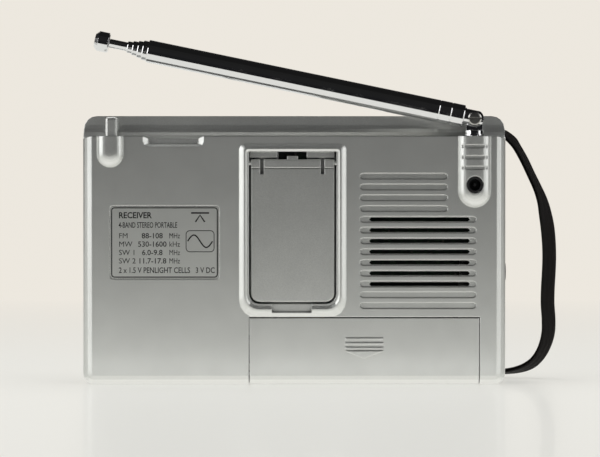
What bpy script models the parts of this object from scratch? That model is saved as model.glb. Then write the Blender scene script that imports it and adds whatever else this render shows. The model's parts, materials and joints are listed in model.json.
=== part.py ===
"""Pocket shortwave receiver with a rod aerial, a fold-out stand and a wrist strap.

Frame: metres, +Z up, the dial side faces -Y and the stand side +Y. The origin is the
bottom centre of the case. Every object is one piece that would come off on a bench.
Lengths below are written in millimetres and multiplied by MM.
"""
import math

import bmesh
import bpy
from mathutils import Matrix, Vector

MM = 0.001

# Case
CASE_WIDTH = 136.2 * MM
CASE_HEIGHT = 86.6 * MM
CASE_DEPTH = 24 * MM
WALL = 1.8 * MM
EDGE = 3.0 * MM                  # width of the rounded strip round the front and back faces
HALF_WIDTH = CASE_WIDTH / 2
FRONT_FACE = -CASE_DEPTH / 2
BACK_FACE = CASE_DEPTH / 2
FRONT_INSIDE = FRONT_FACE + WALL
BACK_INSIDE = BACK_FACE - WALL
SPLIT = -1.0 * MM                # parting line between the two shells
GAP = 0.3 * MM                   # gap between neighbouring pieces

# Rod aerial
STEM_X = -58.0 * MM
STEM_Y = 9.4 * MM
PIVOT_Z = 85.8 * MM
PIVOT = Vector((STEM_X, STEM_Y, PIVOT_Z))
TILT = math.radians(11.67)       # slope of the aerial at rest
STEM_RADIUS = 2.98 * MM
KNUCKLE_RADIUS = 2.95 * MM
TONGUE = 2.3 * MM                # thickness of the base's tongue in the knuckle's fork
TUBE_WALL = 0.28 * MM
TUBE_START = 3.5 * MM
TUBE_RADII = [r * MM for r in (3.7, 3.25, 2.8, 2.36, 1.92)]
TUBE_ENDS = [e * MM for e in (107.4, 109.1, 110.7, 112.4, 114.1)]
TUBE_STARTS = [TUBE_START] + [s * MM for s in (10.0, 11.0, 12.0, 13.0)]
ROD_RADIUS = 1.45 * MM
ROD_START = 14.0 * MM
CAP_START = 120.0 * MM
CAP_END = 124.7 * MM
CAP_RADIUS = 3.25 * MM
TROUGH_Z = 83.7 * MM
TROUGH_RADIUS = 4.4 * MM
SEAT_TOP = 80.05 * MM            # floor under the foot of the aerial

# Aerial clip
CLIP_X = 59.2 * MM
RIB_X = 58.85 * MM
CLIP_WIDTH = 3.9 * MM
SEAT_Z = 83.0 * MM               # height of the folded rod in the clip

# Stand
STAND_X = 0.5 * MM
STAND_WIDTH = 26.9 * MM
STAND_BOTTOM = 26.65 * MM
STAND_TOP = 72.6 * MM
STAND_INNER_Y = 10.1 * MM
STAND_OUTER_Y = 11.9 * MM
STAND_HINGE = Vector((STAND_X, 10.9 * MM, 71.4 * MM))
POCKET_FLOOR = 8.9 * MM

# Battery door
DOOR_LEFT = -59.5 * MM
DOOR_RIGHT = 14.4 * MM
DOOR_TOP = 21.6 * MM
DOOR_BOTTOM = 0.2 * MM

# Speaker
SPEAKER = Vector((-34.5 * MM, 0, 57.5 * MM))
SPEAKER_RADIUS = 23.0 * MM

# Tuning and dial
TUNING = Vector((50.9 * MM, 0, 30.0 * MM))
TUNING_RADIUS = 17.0 * MM
DRUM_RADIUS = 14.0 * MM
CORD_Y = -4.7 * MM
CORD_RADIUS = 0.25 * MM
CORD_GAP = 0.1 * MM
PULLEY_RADIUS = 2.4 * MM
PULLEY_LEFT = Vector((4.5 * MM, 0, 46.6 * MM))
PULLEY_RIGHT = Vector((60.5 * MM, 0, 46.6 * MM))
POINTER_X = 32.5 * MM

# Controls
VOLUME = Vector((-58.6 * MM, 0, 56.1 * MM))
VOLUME_RADIUS = 10.05 * MM
BAND_KNOB = Vector((14.5 * MM, 0, 22.0 * MM))
BAND_TRAVEL = 9.0 * MM
POWER_KNOB = Vector((26.5 * MM, 0, 42.0 * MM))
POWER_TRAVEL = 3.0 * MM
STEREO_KNOB = Vector((0, 2.6 * MM, 13.8 * MM))
STEREO_TRAVEL = 3.0 * MM
HEADPHONE = Vector((0, 3.2 * MM, 36.2 * MM))
DC_SOCKET_Z = 64.5 * MM
LED_X = (13.0 * MM, 19.0 * MM)
LED_Z = 43.5 * MM

# Boards, screws and batteries
PCB_FRONT = 3.4 * MM
PCB_BACK = 5.0 * MM
CASE_SCREWS = ((10.7 * MM, 11.0 * MM), (-56.5 * MM, 11.0 * MM))
BOARD_SCREWS = ((58.5 * MM, 8.0 * MM), (-7.5 * MM, 38.5 * MM))
CELL_RADIUS = 7.1 * MM
CELL_BODY = 49.0 * MM
LOWER_CELL = Vector((-23.0 * MM, 2.3 * MM, 9.7 * MM))
UPPER_CELL = Vector((-23.0 * MM, -2.6 * MM, 23.6 * MM))
BAY_LEFT = -51.8 * MM
BAY_RIGHT = 5.6 * MM
BAY_TOP = 31.2 * MM

# Wrist strap
STRAP_BAR = Vector((-66.0 * MM, -5.4 * MM, 80.4 * MM))
STRAP_PATH = (  # (x, y, z, turn of the tape in degrees)
    (-67.4, -5.4, 80.7, 0), (-69.2, -5.4, 80.4, 10), (-71.4, -5.5, 78.6, 22),
    (-73.0, -5.6, 76.3, 27), (-75.3, -5.8, 72.2, 28), (-77.6, -6.1, 67.4, 28),
    (-79.7, -6.5, 63.0, 32), (-81.3, -6.9, 58.8, 45), (-82.3, -7.4, 54.5, 62),
    (-83.1, -8.1, 50.0, 78), (-83.6, -8.9, 45.0, 88), (-83.8, -9.8, 40.0, 90),
    (-83.7, -10.7, 35.0, 90), (-83.5, -11.6, 30.0, 90), (-83.5, -12.5, 25.0, 88),
    (-83.9, -13.4, 20.0, 80), (-83.9, -14.4, 15.5, 68), (-83.0, -15.4, 11.4, 52),
    (-81.2, -16.3, 7.6, 35), (-78.6, -17.0, 4.8, 18), (-75.0, -17.6, 2.9, 6),
    (-70.0, -18.1, 1.9, 0), (-60.0, -18.8, 1.5, 0), (-50.0, -19.6, 1.4, 0),
    (-40.0, -20.6, 1.4, 0),
)

AXES = {  # local X, local Y and local Z of an outline, by the world axis it is extruded along
    "X": Matrix(((0, 0, 1), (1, 0, 0), (0, 1, 0))).to_4x4(),
    "Y": Matrix(((1, 0, 0), (0, 0, -1), (0, 1, 0))).to_4x4(),
    "Z": Matrix.Identity(4),
}


# ---------------------------------------------------------------- scene and mesh helpers

def clear_scene():
    for obj in list(bpy.data.objects):
        bpy.data.objects.remove(obj)


def material(name, colour, roughness, metallic=0.0):
    found = bpy.data.materials.get(name)
    if found:
        return found
    made = bpy.data.materials.new(name)
    made.use_nodes = True
    shader = made.node_tree.nodes["Principled BSDF"]
    shader.inputs["Base Color"].default_value = (*colour, 1.0)
    shader.inputs["Roughness"].default_value = roughness
    shader.inputs["Metallic"].default_value = metallic
    return made


def silver():
    return material("silver_paint", (0.62, 0.63, 0.62), 0.35, 0.6)


def chrome():
    return material("chrome", (0.85, 0.86, 0.87), 0.08, 1.0)


def steel():
    return material("zinc_steel", (0.6, 0.61, 0.62), 0.3, 1.0)


def black_plastic():
    return material("black_plastic", (0.03, 0.03, 0.035), 0.45)


def board():
    return material("circuit_board", (0.12, 0.28, 0.12), 0.5)


def new_object(name, bm):
    """An object at the origin holding this bmesh, in the receiver's collection."""
    mesh = bpy.data.meshes.new(name)
    bm.to_mesh(mesh)
    bm.free()
    obj = bpy.data.objects.new(name, mesh)
    RECEIVER.objects.link(obj)
    return obj


def bake(obj, outward=False):
    """Replaces the object with a mesh of what it evaluates to, in world space.

    outward turns every face out, for a fresh solid with no hollow inside it.
    """
    bpy.context.view_layer.update()
    graph = bpy.context.evaluated_depsgraph_get()
    mesh = bpy.data.meshes.new_from_object(obj.evaluated_get(graph), depsgraph=graph)
    mesh.transform(obj.matrix_world)
    name = obj.name
    bpy.data.objects.remove(obj)
    bm = bmesh.new()
    bm.from_mesh(mesh)
    bpy.data.meshes.remove(mesh)
    bmesh.ops.remove_doubles(bm, verts=bm.verts, dist=0.001 * MM)
    if outward:
        bmesh.ops.recalc_face_normals(bm, faces=bm.faces)
    return new_object(name, bm)


def finish(obj, skin, origin=None, parent=None):
    """Gives the piece its material, its smooth shading and its origin."""
    obj.data.materials.clear()
    obj.data.materials.append(skin)
    if obj.type == "MESH":
        obj.data.shade_smooth()
        obj.data.set_sharp_from_angle(angle=math.radians(35))
    if origin is not None:
        obj.data.transform(Matrix.Translation(-origin))
        obj.location = origin
    if parent is not None:
        obj.parent = parent
        obj.location -= parent.location
    return obj


def box(name, low, high):
    low, high = Vector(low), Vector(high)
    bm = bmesh.new()
    place = Matrix.Translation((low + high) / 2) @ Matrix.Diagonal((high - low).to_4d())
    bmesh.ops.create_cube(bm, size=1.0, matrix=place)
    return new_object(name, bm)


def cylinder(name, centre, radius, length, axis="Z", segments=24):
    bm = bmesh.new()
    bmesh.ops.create_cone(
        bm, cap_ends=True, segments=segments, radius1=radius, radius2=radius, depth=length,
        matrix=Matrix.Translation(centre) @ AXES[axis],
    )
    return new_object(name, bm)


def prism(name, outlines, axis, start, end):
    """Flat outlines, the inner ones holes, extruded along a world axis from start to end."""
    curve = bpy.data.curves.new(name, "CURVE")
    curve.dimensions = "2D"
    curve.fill_mode = "BOTH"
    curve.extrude = abs(end - start) / 2
    for outline in outlines:
        spline = curve.splines.new("POLY")
        spline.points.add(len(outline) - 1)
        for point, (u, v) in zip(spline.points, outline):
            point.co = (u, v, 0, 1)
        spline.use_cyclic_u = True
    obj = bpy.data.objects.new(name, curve)
    RECEIVER.objects.link(obj)
    middle = (start + end) / 2
    shift = {"X": (middle, 0, 0), "Y": (0, middle, 0), "Z": (0, 0, middle)}[axis]
    obj.matrix_world = Matrix.Translation(shift) @ AXES[axis]
    obj = bake(obj)
    bm = bmesh.new()
    bm.from_mesh(obj.data)
    bmesh.ops.dissolve_limit(
        bm, angle_limit=math.radians(0.5), verts=bm.verts, edges=bm.edges,
    )
    bmesh.ops.recalc_face_normals(bm, faces=bm.faces)
    bm.to_mesh(obj.data)
    bm.free()
    return obj


def turned(name, profile, place, steps=24):
    """A solid of revolution. The profile is (radius, height) points; it turns about local Z.

    A profile that starts and ends on the axis is closed by it; any other is a closed ring.
    """
    mesh = bpy.data.meshes.new(name)
    edges = [(i, i + 1) for i in range(len(profile) - 1)]
    if profile[0][0] > 0:
        edges.append((len(profile) - 1, 0))
    mesh.from_pydata([(r, 0, h) for r, h in profile], edges, [])
    obj = bpy.data.objects.new(name, mesh)
    RECEIVER.objects.link(obj)
    screw = obj.modifiers.new("Screw", "SCREW")
    screw.steps = screw.render_steps = steps
    screw.use_merge_vertices = True
    screw.merge_threshold = 0.00001
    obj.matrix_world = place
    return bake(obj, outward=True)


def loft(name, sections):
    """A solid through (outline, y) sections that have equally many points, front to back."""
    bm = bmesh.new()
    rings = [[bm.verts.new((u, y, v)) for u, v in outline] for outline, y in sections]
    count = len(rings[0])
    for near, far in zip(rings, rings[1:]):
        for i in range(count):
            j = (i + 1) % count
            bm.faces.new((near[i], near[j], far[j], far[i]))
    bm.faces.new(rings[0])
    bm.faces.new(rings[-1])
    bmesh.ops.recalc_face_normals(bm, faces=bm.faces)
    return new_object(name, bm)


def along(axis, point=(0, 0, 0)):
    """A matrix that carries local +Z onto a world direction, at a point."""
    turn = Vector((0, 0, 1)).rotation_difference(Vector(axis)).to_matrix().to_4x4()
    return Matrix.Translation(point) @ turn


def bevel(obj, width, segments=2, profile=0.5, angle=60):
    """Rounds the edges sharper than the angle."""
    modifier = obj.modifiers.new("Bevel", "BEVEL")
    modifier.width = width
    modifier.segments = segments
    modifier.profile = profile
    modifier.limit_method = "ANGLE"
    modifier.angle_limit = math.radians(angle)
    return bake(obj)


def combine(obj, operation, others):
    for other in others:
        modifier = obj.modifiers.new("Boolean", "BOOLEAN")
        modifier.operation = operation
        modifier.solver = "EXACT"
        modifier.object = other
        obj = bake(obj)
        bpy.data.objects.remove(other)
    return obj


def cut(obj, *cutters):
    return combine(obj, "DIFFERENCE", cutters)


def join(obj, *others):
    return combine(obj, "UNION", others)


def keep(obj, *regions):
    return combine(obj, "INTERSECT", regions)


# ---------------------------------------------------------------- outlines

def arc(centre, radius, start, end, steps):
    """Points on a circle from the start to the end angle, in degrees."""
    angles = [math.radians(start + (end - start) * i / steps) for i in range(steps + 1)]
    return [(centre[0] + radius * math.cos(a), centre[1] + radius * math.sin(a)) for a in angles]


def rounded_rect(left, right, bottom, top, low_radius, high_radius=None, steps=4):
    """A rectangle with one radius for its lower corners and one for its upper corners."""
    high_radius = low_radius if high_radius is None else high_radius
    return (
        arc((right - low_radius, bottom + low_radius), low_radius, -90, 0, steps)
        + arc((right - high_radius, top - high_radius), high_radius, 0, 90, steps)
        + arc((left + high_radius, top - high_radius), high_radius, 90, 180, steps)
        + arc((left + low_radius, bottom + low_radius), low_radius, 180, 270, steps)
    )


def slot(left, right, middle, height, steps=5):
    """A straight slot with half-round ends."""
    r = height / 2
    return (
        arc((right - r, middle), r, -90, 90, steps) + arc((left + r, middle), r, 90, 270, steps)
    )


def knurled(centre, radius, depth, ribs):
    """A circle whose rim alternates between two radii, as ribs do."""
    points = []
    for i in range(2 * ribs):
        r = radius if i % 2 else radius - depth
        a = math.pi * i / ribs
        points.append((centre[0] + r * math.cos(a), centre[1] + r * math.sin(a)))
    return points


def grille_rows(centre, radius, pitch, count):
    """(left, right, height) of slots that fill a circle."""
    rows = []
    for i in range(count):
        offset = (i - (count - 1) / 2) * pitch
        half = math.sqrt(radius ** 2 - offset ** 2)
        rows.append((centre[0] - half, centre[0] + half, centre[1] + offset))
    return rows


# ---------------------------------------------------------------- case

def case_form(name):
    """The outside of the closed case, with its rounded edge strips."""
    outline = rounded_rect(
        -HALF_WIDTH, HALF_WIDTH, 0, CASE_HEIGHT, 3.4 * MM, 4.2 * MM, steps=4
    )
    return bevel(prism(name, [outline], "Y", FRONT_FACE, BACK_FACE), EDGE, 3, 0.42)


def trough_form(name, grow=0.0):
    """The space the folded aerial lies in: a round channel open at the back and the top."""
    r = TROUGH_RADIUS + grow
    lip_angle = 360 - math.degrees(math.acos((BACK_FACE - STEM_Y) / r))
    outline = arc((STEM_Y, TROUGH_Z), r, 180, lip_angle, 8)
    far, high = 20 * MM, 95 * MM
    outline += [(far, outline[-1][1]), (far, high), (outline[0][0], high)]
    return prism(name, [outline], "X", -80 * MM, 80 * MM)


def stand_pocket(name):
    half = STAND_WIDTH / 2 + 0.65 * MM
    outline = rounded_rect(
        STAND_X - half, STAND_X + half, STAND_BOTTOM - 0.5 * MM, 75.1 * MM, 3.3 * MM, 0.3 * MM
    )
    return prism(name, [outline], "Y", POCKET_FLOOR, 20 * MM)


def finger_notch(name):
    """The scoop below the trough that lets a fingertip under the aerial; its sides flare out."""
    def outline(inset, floor, corner):
        left, right, top = 28.9 * MM + inset, 48.9 * MM - inset, 82 * MM
        cut_in = 0.29 * corner
        return [
            (left, top), (left, floor + corner), (left + cut_in, floor + cut_in),
            (left + corner, floor), (right - corner, floor), (right - cut_in, floor + cut_in),
            (right, floor + corner), (right, top),
        ]
    return loft(name, [
        (outline(2.0 * MM, 77.7 * MM, 0.7 * MM), 9.8 * MM),
        (outline(1.8 * MM, 77.5 * MM, 0.7 * MM), 10.8 * MM),
        (outline(-1.2 * MM, 76.1 * MM, 2.6 * MM), 13.0 * MM),
    ])


def cavity_form(name):
    """The inside of the case, stepped round the trough, the stand pocket and the notch."""
    outline = rounded_rect(
        -HALF_WIDTH + WALL, HALF_WIDTH - WALL, WALL, CASE_HEIGHT - WALL, 1.7 * MM, 2.4 * MM
    )
    room = bevel(prism(name, [outline], "Y", FRONT_INSIDE, BACK_INSIDE), 1.5 * MM, 1)
    return cut(
        room,
        trough_form("trough_wall", 1.6 * MM),
        box("pocket_wall", (-14.9 * MM, 7.8 * MM, 24.6 * MM), (15.9 * MM, 20 * MM, 76.6 * MM)),
        box("notch_wall", (27.3 * MM, 7.0 * MM, 75.4 * MM), (50.5 * MM, 20 * MM, 82 * MM)),
    )


def boss(name, centre_x, half_width, bottom, reach, side, foot):
    """A domed bump on the back; it slopes in by side at its sides and by foot at its foot."""
    root = BACK_FACE - 0.5 * MM
    levels = [(0, 8 * MM)]
    for step in range(8):
        turn = math.radians(step * 90 / 7)
        levels.append((1 - math.cos(turn), root + (reach - root) * math.sin(turn)))
    sections = []
    for inset, y in levels:
        half = half_width - side * inset
        outline = rounded_rect(centre_x - half, centre_x + half, bottom + foot * inset, 94 * MM,
                               half - 0.15 * MM, steps=6)
        sections.append((outline, y))
    return loft(name, sections)


def frame_outline(side, bottom, top, low_radius, high_radius):
    """A rounded rectangle round the stand, side being half its width."""
    return rounded_rect(STAND_X - side * MM, STAND_X + side * MM, bottom * MM, top * MM,
                        low_radius * MM, high_radius * MM)


def stand_frame(name):
    """The raised frame round the stand pocket: broad outer slopes and a narrow inner one."""
    foot = frame_outline(17.3, 21.6, 77.7, 5.8, 2.0)
    ring = loft(name, [
        (foot, 10.6 * MM),
        (foot, 11.95 * MM),
        (frame_outline(16.9, 22.1, 77.4, 5.5, 1.8), 12.3 * MM),
        (frame_outline(16.3, 22.9, 76.9, 5.0, 1.4), 12.7 * MM),
        (frame_outline(15.7, 23.8, 76.4, 4.5, 1.1), 13.0 * MM),
        (frame_outline(15.2, 24.5, 75.9, 4.1, 0.9), 13.1 * MM),
        (frame_outline(14.2, 25.9, 74.8, 3.3, 0.4), 12.1 * MM),
    ])
    inner = frame_outline(14.6, 25.3, 75.2, 3.6, 0.6)
    return cut(ring, prism("frame_hole", [inner], "Y", 9 * MM, 14 * MM))


def vent_cutters():
    """Thirteen shallow grooves behind the speaker, seven of them slotted through the wall."""
    rows, short_rows, pitch, top = 13, 4, 3.47 * MM, 67.2 * MM
    open_rows = range(4, 11)
    grooves = []
    slots = []
    for i in range(rows):
        z = top - pitch * i
        left = -49.4 * MM if i < short_rows else -58.6 * MM
        grooves.append(slot(left, -21.1 * MM, z, 1.9 * MM, 3))
        if i in open_rows:
            slots.append(slot(-56.6 * MM, -24.1 * MM, z, 1.3 * MM, 2))
    return (
        prism("vent_grooves", grooves, "Y", 11.4 * MM, 13 * MM),
        prism("vent_slots", slots, "Y", 9 * MM, 13 * MM),
    )


def pod_grooves():
    """Three finger grooves across the aerial pod, each ending in a small deeper slot."""
    cutters = []
    for z in (76.8 * MM, 73.3 * MM, 69.9 * MM):
        cutters.append(box(
            "pod_groove", (STEM_X - 3.9 * MM, 14.05 * MM, z - 0.55 * MM),
            (STEM_X + 3.9 * MM, 16 * MM, z + 0.55 * MM),
        ))
        for side in (-1, 1):
            x = STEM_X + side * 3.9 * MM
            cutters.append(box(
                "pod_slot", (x - 0.3 * MM, 13.5 * MM, z - 0.5 * MM),
                (x + 0.3 * MM, 16 * MM, z + 0.5 * MM),
            ))
    return cutters


def side_openings():
    """Cutters for the volume wheel, the headphone socket and the small side switch."""
    outside = -80 * MM
    return [
        cylinder("volume_slot", (VOLUME.x, -0.2 * MM, VOLUME.z), VOLUME_RADIUS + 0.4 * MM,
                 3.4 * MM, "Y", 40),
        cylinder("headphone_hole", (-66 * MM, HEADPHONE.y, HEADPHONE.z), 3.05 * MM, 8.3 * MM, "X", 20),
        box("stereo_slot", (outside, 1.9 * MM, 12.0 * MM), (-64 * MM, 3.3 * MM, 18.6 * MM)),
        box("stereo_recess", (outside, 0.9 * MM, 11.3 * MM),
            (0.7 * MM - HALF_WIDTH, 4.3 * MM, 19.3 * MM)),
    ]


def battery_jambs():
    """Walls beside the battery door opening, each with a tab for a case screw."""
    pieces = []
    for inner, side, tab in ((14.7 * MM, 1, 8.0 * MM), (-59.8 * MM, -1, -53.8 * MM)):
        outer = inner + side * 1.4 * MM
        root = inner + side * 0.4 * MM
        pieces.append(box(
            "jamb", (min(inner, outer), 3.4 * MM, 1.2 * MM), (max(inner, outer), 11 * MM, 22 * MM)
        ))
        pieces.append(box(
            "screw_tab", (min(tab, root), 3.4 * MM, 6.5 * MM), (max(tab, root), 5.0 * MM, 15.5 * MM)
        ))
    return pieces


def stand_shelves():
    """Two steps in the pocket above the stand."""
    return [
        box("shelf", (x, 8.5 * MM, 73.2 * MM), (x + 8.9 * MM, 10.6 * MM, 75.8 * MM))
        for x in (5.5 * MM, -12.9 * MM)
    ]


def top_hooks():
    """Tongues on the upper wall that slip behind the front shell."""
    pieces = []
    for x in (-46 * MM, -26 * MM):
        pieces.append(box("hook", (x, -4.0 * MM, 82.6 * MM), (x + 8 * MM, 3.2 * MM, 83.9 * MM)))
        pieces.append(box("hook_root", (x, -0.4 * MM, 82.8 * MM), (x + 8 * MM, 3.0 * MM, 84.8 * MM)))
    return pieces


def clip_rib(name):
    """The upright with a round seat that the folded aerial rod snaps into."""
    rib = box(name, (RIB_X - CLIP_WIDTH / 2, 5.4 * MM, 78.5 * MM),
              (RIB_X + CLIP_WIDTH / 2, 12.9 * MM, 86.2 * MM))
    return cut(
        bevel(rib, 0.9 * MM, 2),
        cylinder("rod_seat", (RIB_X, STEM_Y, SEAT_Z), 1.65 * MM, 6 * MM, "X", 16),
        box("rod_entry", (RIB_X - 3 * MM, STEM_Y - 1.65 * MM, SEAT_Z),
            (RIB_X + 3 * MM, STEM_Y + 1.65 * MM, 90 * MM)),
    )


def cover_openings():
    """Everything cut through or into the back cover besides the cavity."""
    low, high = DOOR_LEFT - 0.25 * MM, DOOR_RIGHT + 0.25 * MM
    label = rounded_rect(24.1 * MM, 59.4 * MM, 34.1 * MM, 57.7 * MM, 1.2 * MM, steps=3)
    cutters = [
        box("door_opening", (low, 5.2 * MM, -5 * MM), (high, 20 * MM, DOOR_TOP + GAP)),
        box("door_opening_bottom", (low, 2.9 * MM, -5 * MM), (high, 20 * MM, 5.0 * MM)),
        box("pod_room", (STEM_X - 3.9 * MM, 7 * MM, 60.2 * MM),
            (STEM_X + 3.9 * MM, 12.9 * MM, 77.6 * MM)),
        cylinder("stem_hole", (STEM_X, STEM_Y, 79 * MM), 2.05 * MM, 8 * MM),
        cylinder("stem_bay", (STEM_X, STEM_Y, SEAT_TOP + 3 * MM), 3.7 * MM, 6 * MM),
        cylinder("dc_hole", (STEM_X, 14 * MM, DC_SOCKET_Z), 2.75 * MM, 4 * MM, "Y"),
        cylinder("stub_holes", STAND_HINGE, 0.9 * MM, 30.2 * MM, "X", 16),
        box("detent_window", (-4.1 * MM, 6 * MM, 70.6 * MM), (5.1 * MM, 10 * MM, 75.0 * MM)),
        box("nail_notch", (-5.6 * MM, 11.1 * MM, 23.4 * MM), (7.2 * MM, 15 * MM, 27 * MM)),
        prism("label_recess", [label], "Y", 11.8 * MM, 13 * MM),
    ]
    for x, z in CASE_SCREWS:
        cutters.append(cylinder("screw_hole", (x, 4 * MM, z), 1.3 * MM, 6 * MM, "Y", 16))
    return cutters


def make_back_cover():
    cover = join(
        case_form("back_cover"),
        boss("aerial_pod", STEM_X, 5.3 * MM, 57.2 * MM, 14.5 * MM, 4.5 * MM, 4.9 * MM),
        boss("clip_boss", CLIP_X, 4.25 * MM, 70.1 * MM, 14.2 * MM, 3.5 * MM, 4.4 * MM),
        stand_frame("stand_frame"),
    )
    seat = box("stem_seat", (STEM_X - 5.0 * MM, 0, 70 * MM), (STEM_X + 5.0 * MM, 30 * MM, SEAT_TOP))
    cover = cut(cover, cut(trough_form("trough"), seat))
    cover = join(cover, clip_rib("clip_rib"))
    cover = cut(cover, cavity_form("cavity"), stand_pocket("pocket"), finger_notch("notch"))
    cover = cut(cover, box("front_space", (-90 * MM, -30 * MM, -9 * MM),
                           (90 * MM, SPLIT + GAP / 2, 99 * MM)), *side_openings())
    cover = join(cover, *battery_jambs(), *stand_shelves(), *top_hooks())
    cover = cut(cover, *cover_openings(), *pod_grooves(), *vent_cutters())
    finish(cover, silver())


def make_front_shell():
    shell = cut(case_form("front_shell"), cavity_form("cavity"))
    shell = cut(shell, box("back_space", (-90 * MM, SPLIT - GAP / 2, -9 * MM),
                           (90 * MM, 30 * MM, 99 * MM)))
    shell = join(shell, *front_ribs(), *front_posts())
    window = rounded_rect(2 * MM, 62 * MM, 52.5 * MM, 76 * MM, 1.5 * MM)
    holes = [
        slot(left, right, z, 1.3 * MM, 2)
        for left, right, z in grille_rows((SPEAKER.x, SPEAKER.z), 19 * MM, 2.7 * MM, 14)
    ]
    for x in LED_X:
        holes.append(arc((x, LED_Z), 1.6 * MM, 0, 337.5, 15))
    shell = cut(
        shell,
        prism("front_holes", [window, *holes], "Y", -14 * MM, -9 * MM),
        *knob_slots(BAND_KNOB, BAND_TRAVEL, 3.0 * MM),
        *knob_slots(POWER_KNOB, POWER_TRAVEL, 2.2 * MM),
        box("tuning_opening", (60 * MM, -14 * MM, 19.5 * MM), (70 * MM, -6.1 * MM, 40.5 * MM)),
        box("strap_recess", (-70 * MM, -8.2 * MM, 75.8 * MM), (-63.4 * MM, -2.6 * MM, 84.2 * MM)),
        *side_openings(),
    )
    bar = cylinder("strap_bar", STRAP_BAR, 0.9 * MM, 6.8 * MM, "Y", 14)
    finish(join(shell, bar), silver())


def knob_slots(knob, travel, half):
    """The recess and the through slot of a slide knob on the front."""
    low, high = knob.x - half, knob.x + travel + half
    return [
        box("knob_recess", (low - 0.5 * MM, -13 * MM, knob.z - 2.0 * MM),
            (high + 0.5 * MM, -11.2 * MM, knob.z + 2.0 * MM)),
        box("knob_slot", (low + 0.6 * MM, -13 * MM, knob.z - 0.9 * MM),
            (high - 0.6 * MM, -9 * MM, knob.z + 0.9 * MM)),
    ]


def front_ribs():
    """The three walls of the battery bay."""
    front, back, floor = FRONT_FACE + 1.0 * MM, 3.0 * MM, 2.1 * MM
    thick = 1.4 * MM
    return [
        box("bay_right", (BAY_RIGHT, front, floor), (BAY_RIGHT + thick, back, BAY_TOP + thick)),
        box("bay_left", (BAY_LEFT - thick, front, floor), (BAY_LEFT, back, BAY_TOP + thick)),
        box("bay_roof", (BAY_LEFT - thick, front, BAY_TOP),
            (BAY_RIGHT + thick, back, BAY_TOP + thick)),
    ]


def post(name, x, z, radius, bore, top):
    """A screw post standing on the inside of the front wall."""
    foot = FRONT_FACE + 1.0 * MM
    body = cylinder(name, (x, (foot + top) / 2, z), radius, top - foot, "Y", 16)
    return cut(body, cylinder("bore", (x, top, z), bore, 12 * MM, "Y", 12))


def front_posts():
    posts = [post("case_post", x, z, 2.6 * MM, 1.0 * MM, 3.1 * MM) for x, z in CASE_SCREWS]
    posts += [post("board_post", x, z, 2.2 * MM, 0.85 * MM, 3.1 * MM) for x, z in BOARD_SCREWS]
    for hub in (PULLEY_LEFT, PULLEY_RIGHT):
        posts.append(cylinder("axle", (hub.x, -7.2 * MM, hub.z), 1.0 * MM, 7.6 * MM, "Y", 14))
    return posts


def make_label():
    outline = rounded_rect(24.3 * MM, 59.2 * MM, 34.3 * MM, 57.5 * MM, 1.1 * MM, steps=3)
    label = prism("rating_label", [outline], "Y", 11.83 * MM, 11.98 * MM)
    finish(label, material("printed_foil", (0.7, 0.71, 0.7), 0.4, 0.3))


# ---------------------------------------------------------------- door and stand

def make_battery_door():
    door = keep(
        case_form("battery_door"),
        box("door_region", (DOOR_LEFT, 3.2 * MM, DOOR_BOTTOM),
            (DOOR_RIGHT, 13 * MM, DOOR_TOP)),
    )
    arrow = [
        box("arrow_bar", (-28.7 * MM, 11.5 * MM, z - 0.4 * MM),
            (-16.4 * MM, 12.3 * MM, z + 0.4 * MM))
        for z in (14.8 * MM, 13.3 * MM, 11.8 * MM)
    ]
    head = [(-28.7 * MM, 11.0 * MM), (-22.55 * MM, 8.5 * MM), (-16.4 * MM, 11.0 * MM)]
    arrow.append(prism("arrow_head", [head], "Y", 11.5 * MM, 12.3 * MM))
    door = cut(
        join(door, *arrow),
        box("door_inside", (-90 * MM, 0, 1.9 * MM), (90 * MM, 10.4 * MM, 30 * MM)),
        box("latch_notch", (-27.9 * MM, 10.8 * MM, -1 * MM), (-20.5 * MM, 14 * MM, 1.0 * MM)),
    )
    finish(door, silver(), Vector((-22.5 * MM, 11 * MM, 11 * MM)))


def make_stand():
    half = STAND_WIDTH / 2
    blade_outline = rounded_rect(
        STAND_X - half, STAND_X + half, STAND_BOTTOM, STAND_TOP, 2.8 * MM, 0.4 * MM
    )
    blade = prism("stand", [blade_outline], "Y", STAND_INNER_Y, STAND_OUTER_Y)
    blade = bevel(blade, 0.3 * MM, 1)
    tab = box("stand_tab", (-1.2 * MM, 10.3 * MM, 71.5 * MM), (2.3 * MM, 11.6 * MM, 73.7 * MM))
    stubs = cylinder("stand_stubs", STAND_HINGE, 0.75 * MM, 29.6 * MM, "X", 14)
    blade = join(blade, tab, stubs)
    cutters = []
    for x in (10.4 * MM, -9.1 * MM):
        cutters.append(box("relief", (x - 0.6 * MM, 5 * MM, 67.9 * MM),
                           (x + 0.6 * MM, 15 * MM, 74 * MM)))
    cutters.append(box("crease", (-20 * MM, 11.65 * MM, 69.65 * MM), (20 * MM, 13 * MM, 69.95 * MM)))
    finish(cut(blade, *cutters), silver(), STAND_HINGE)


# ---------------------------------------------------------------- rod aerial

def aerial_place():
    """Local +Z along the aerial from its pivot."""
    return along((math.cos(TILT), 0, math.sin(TILT)), PIVOT)


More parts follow.
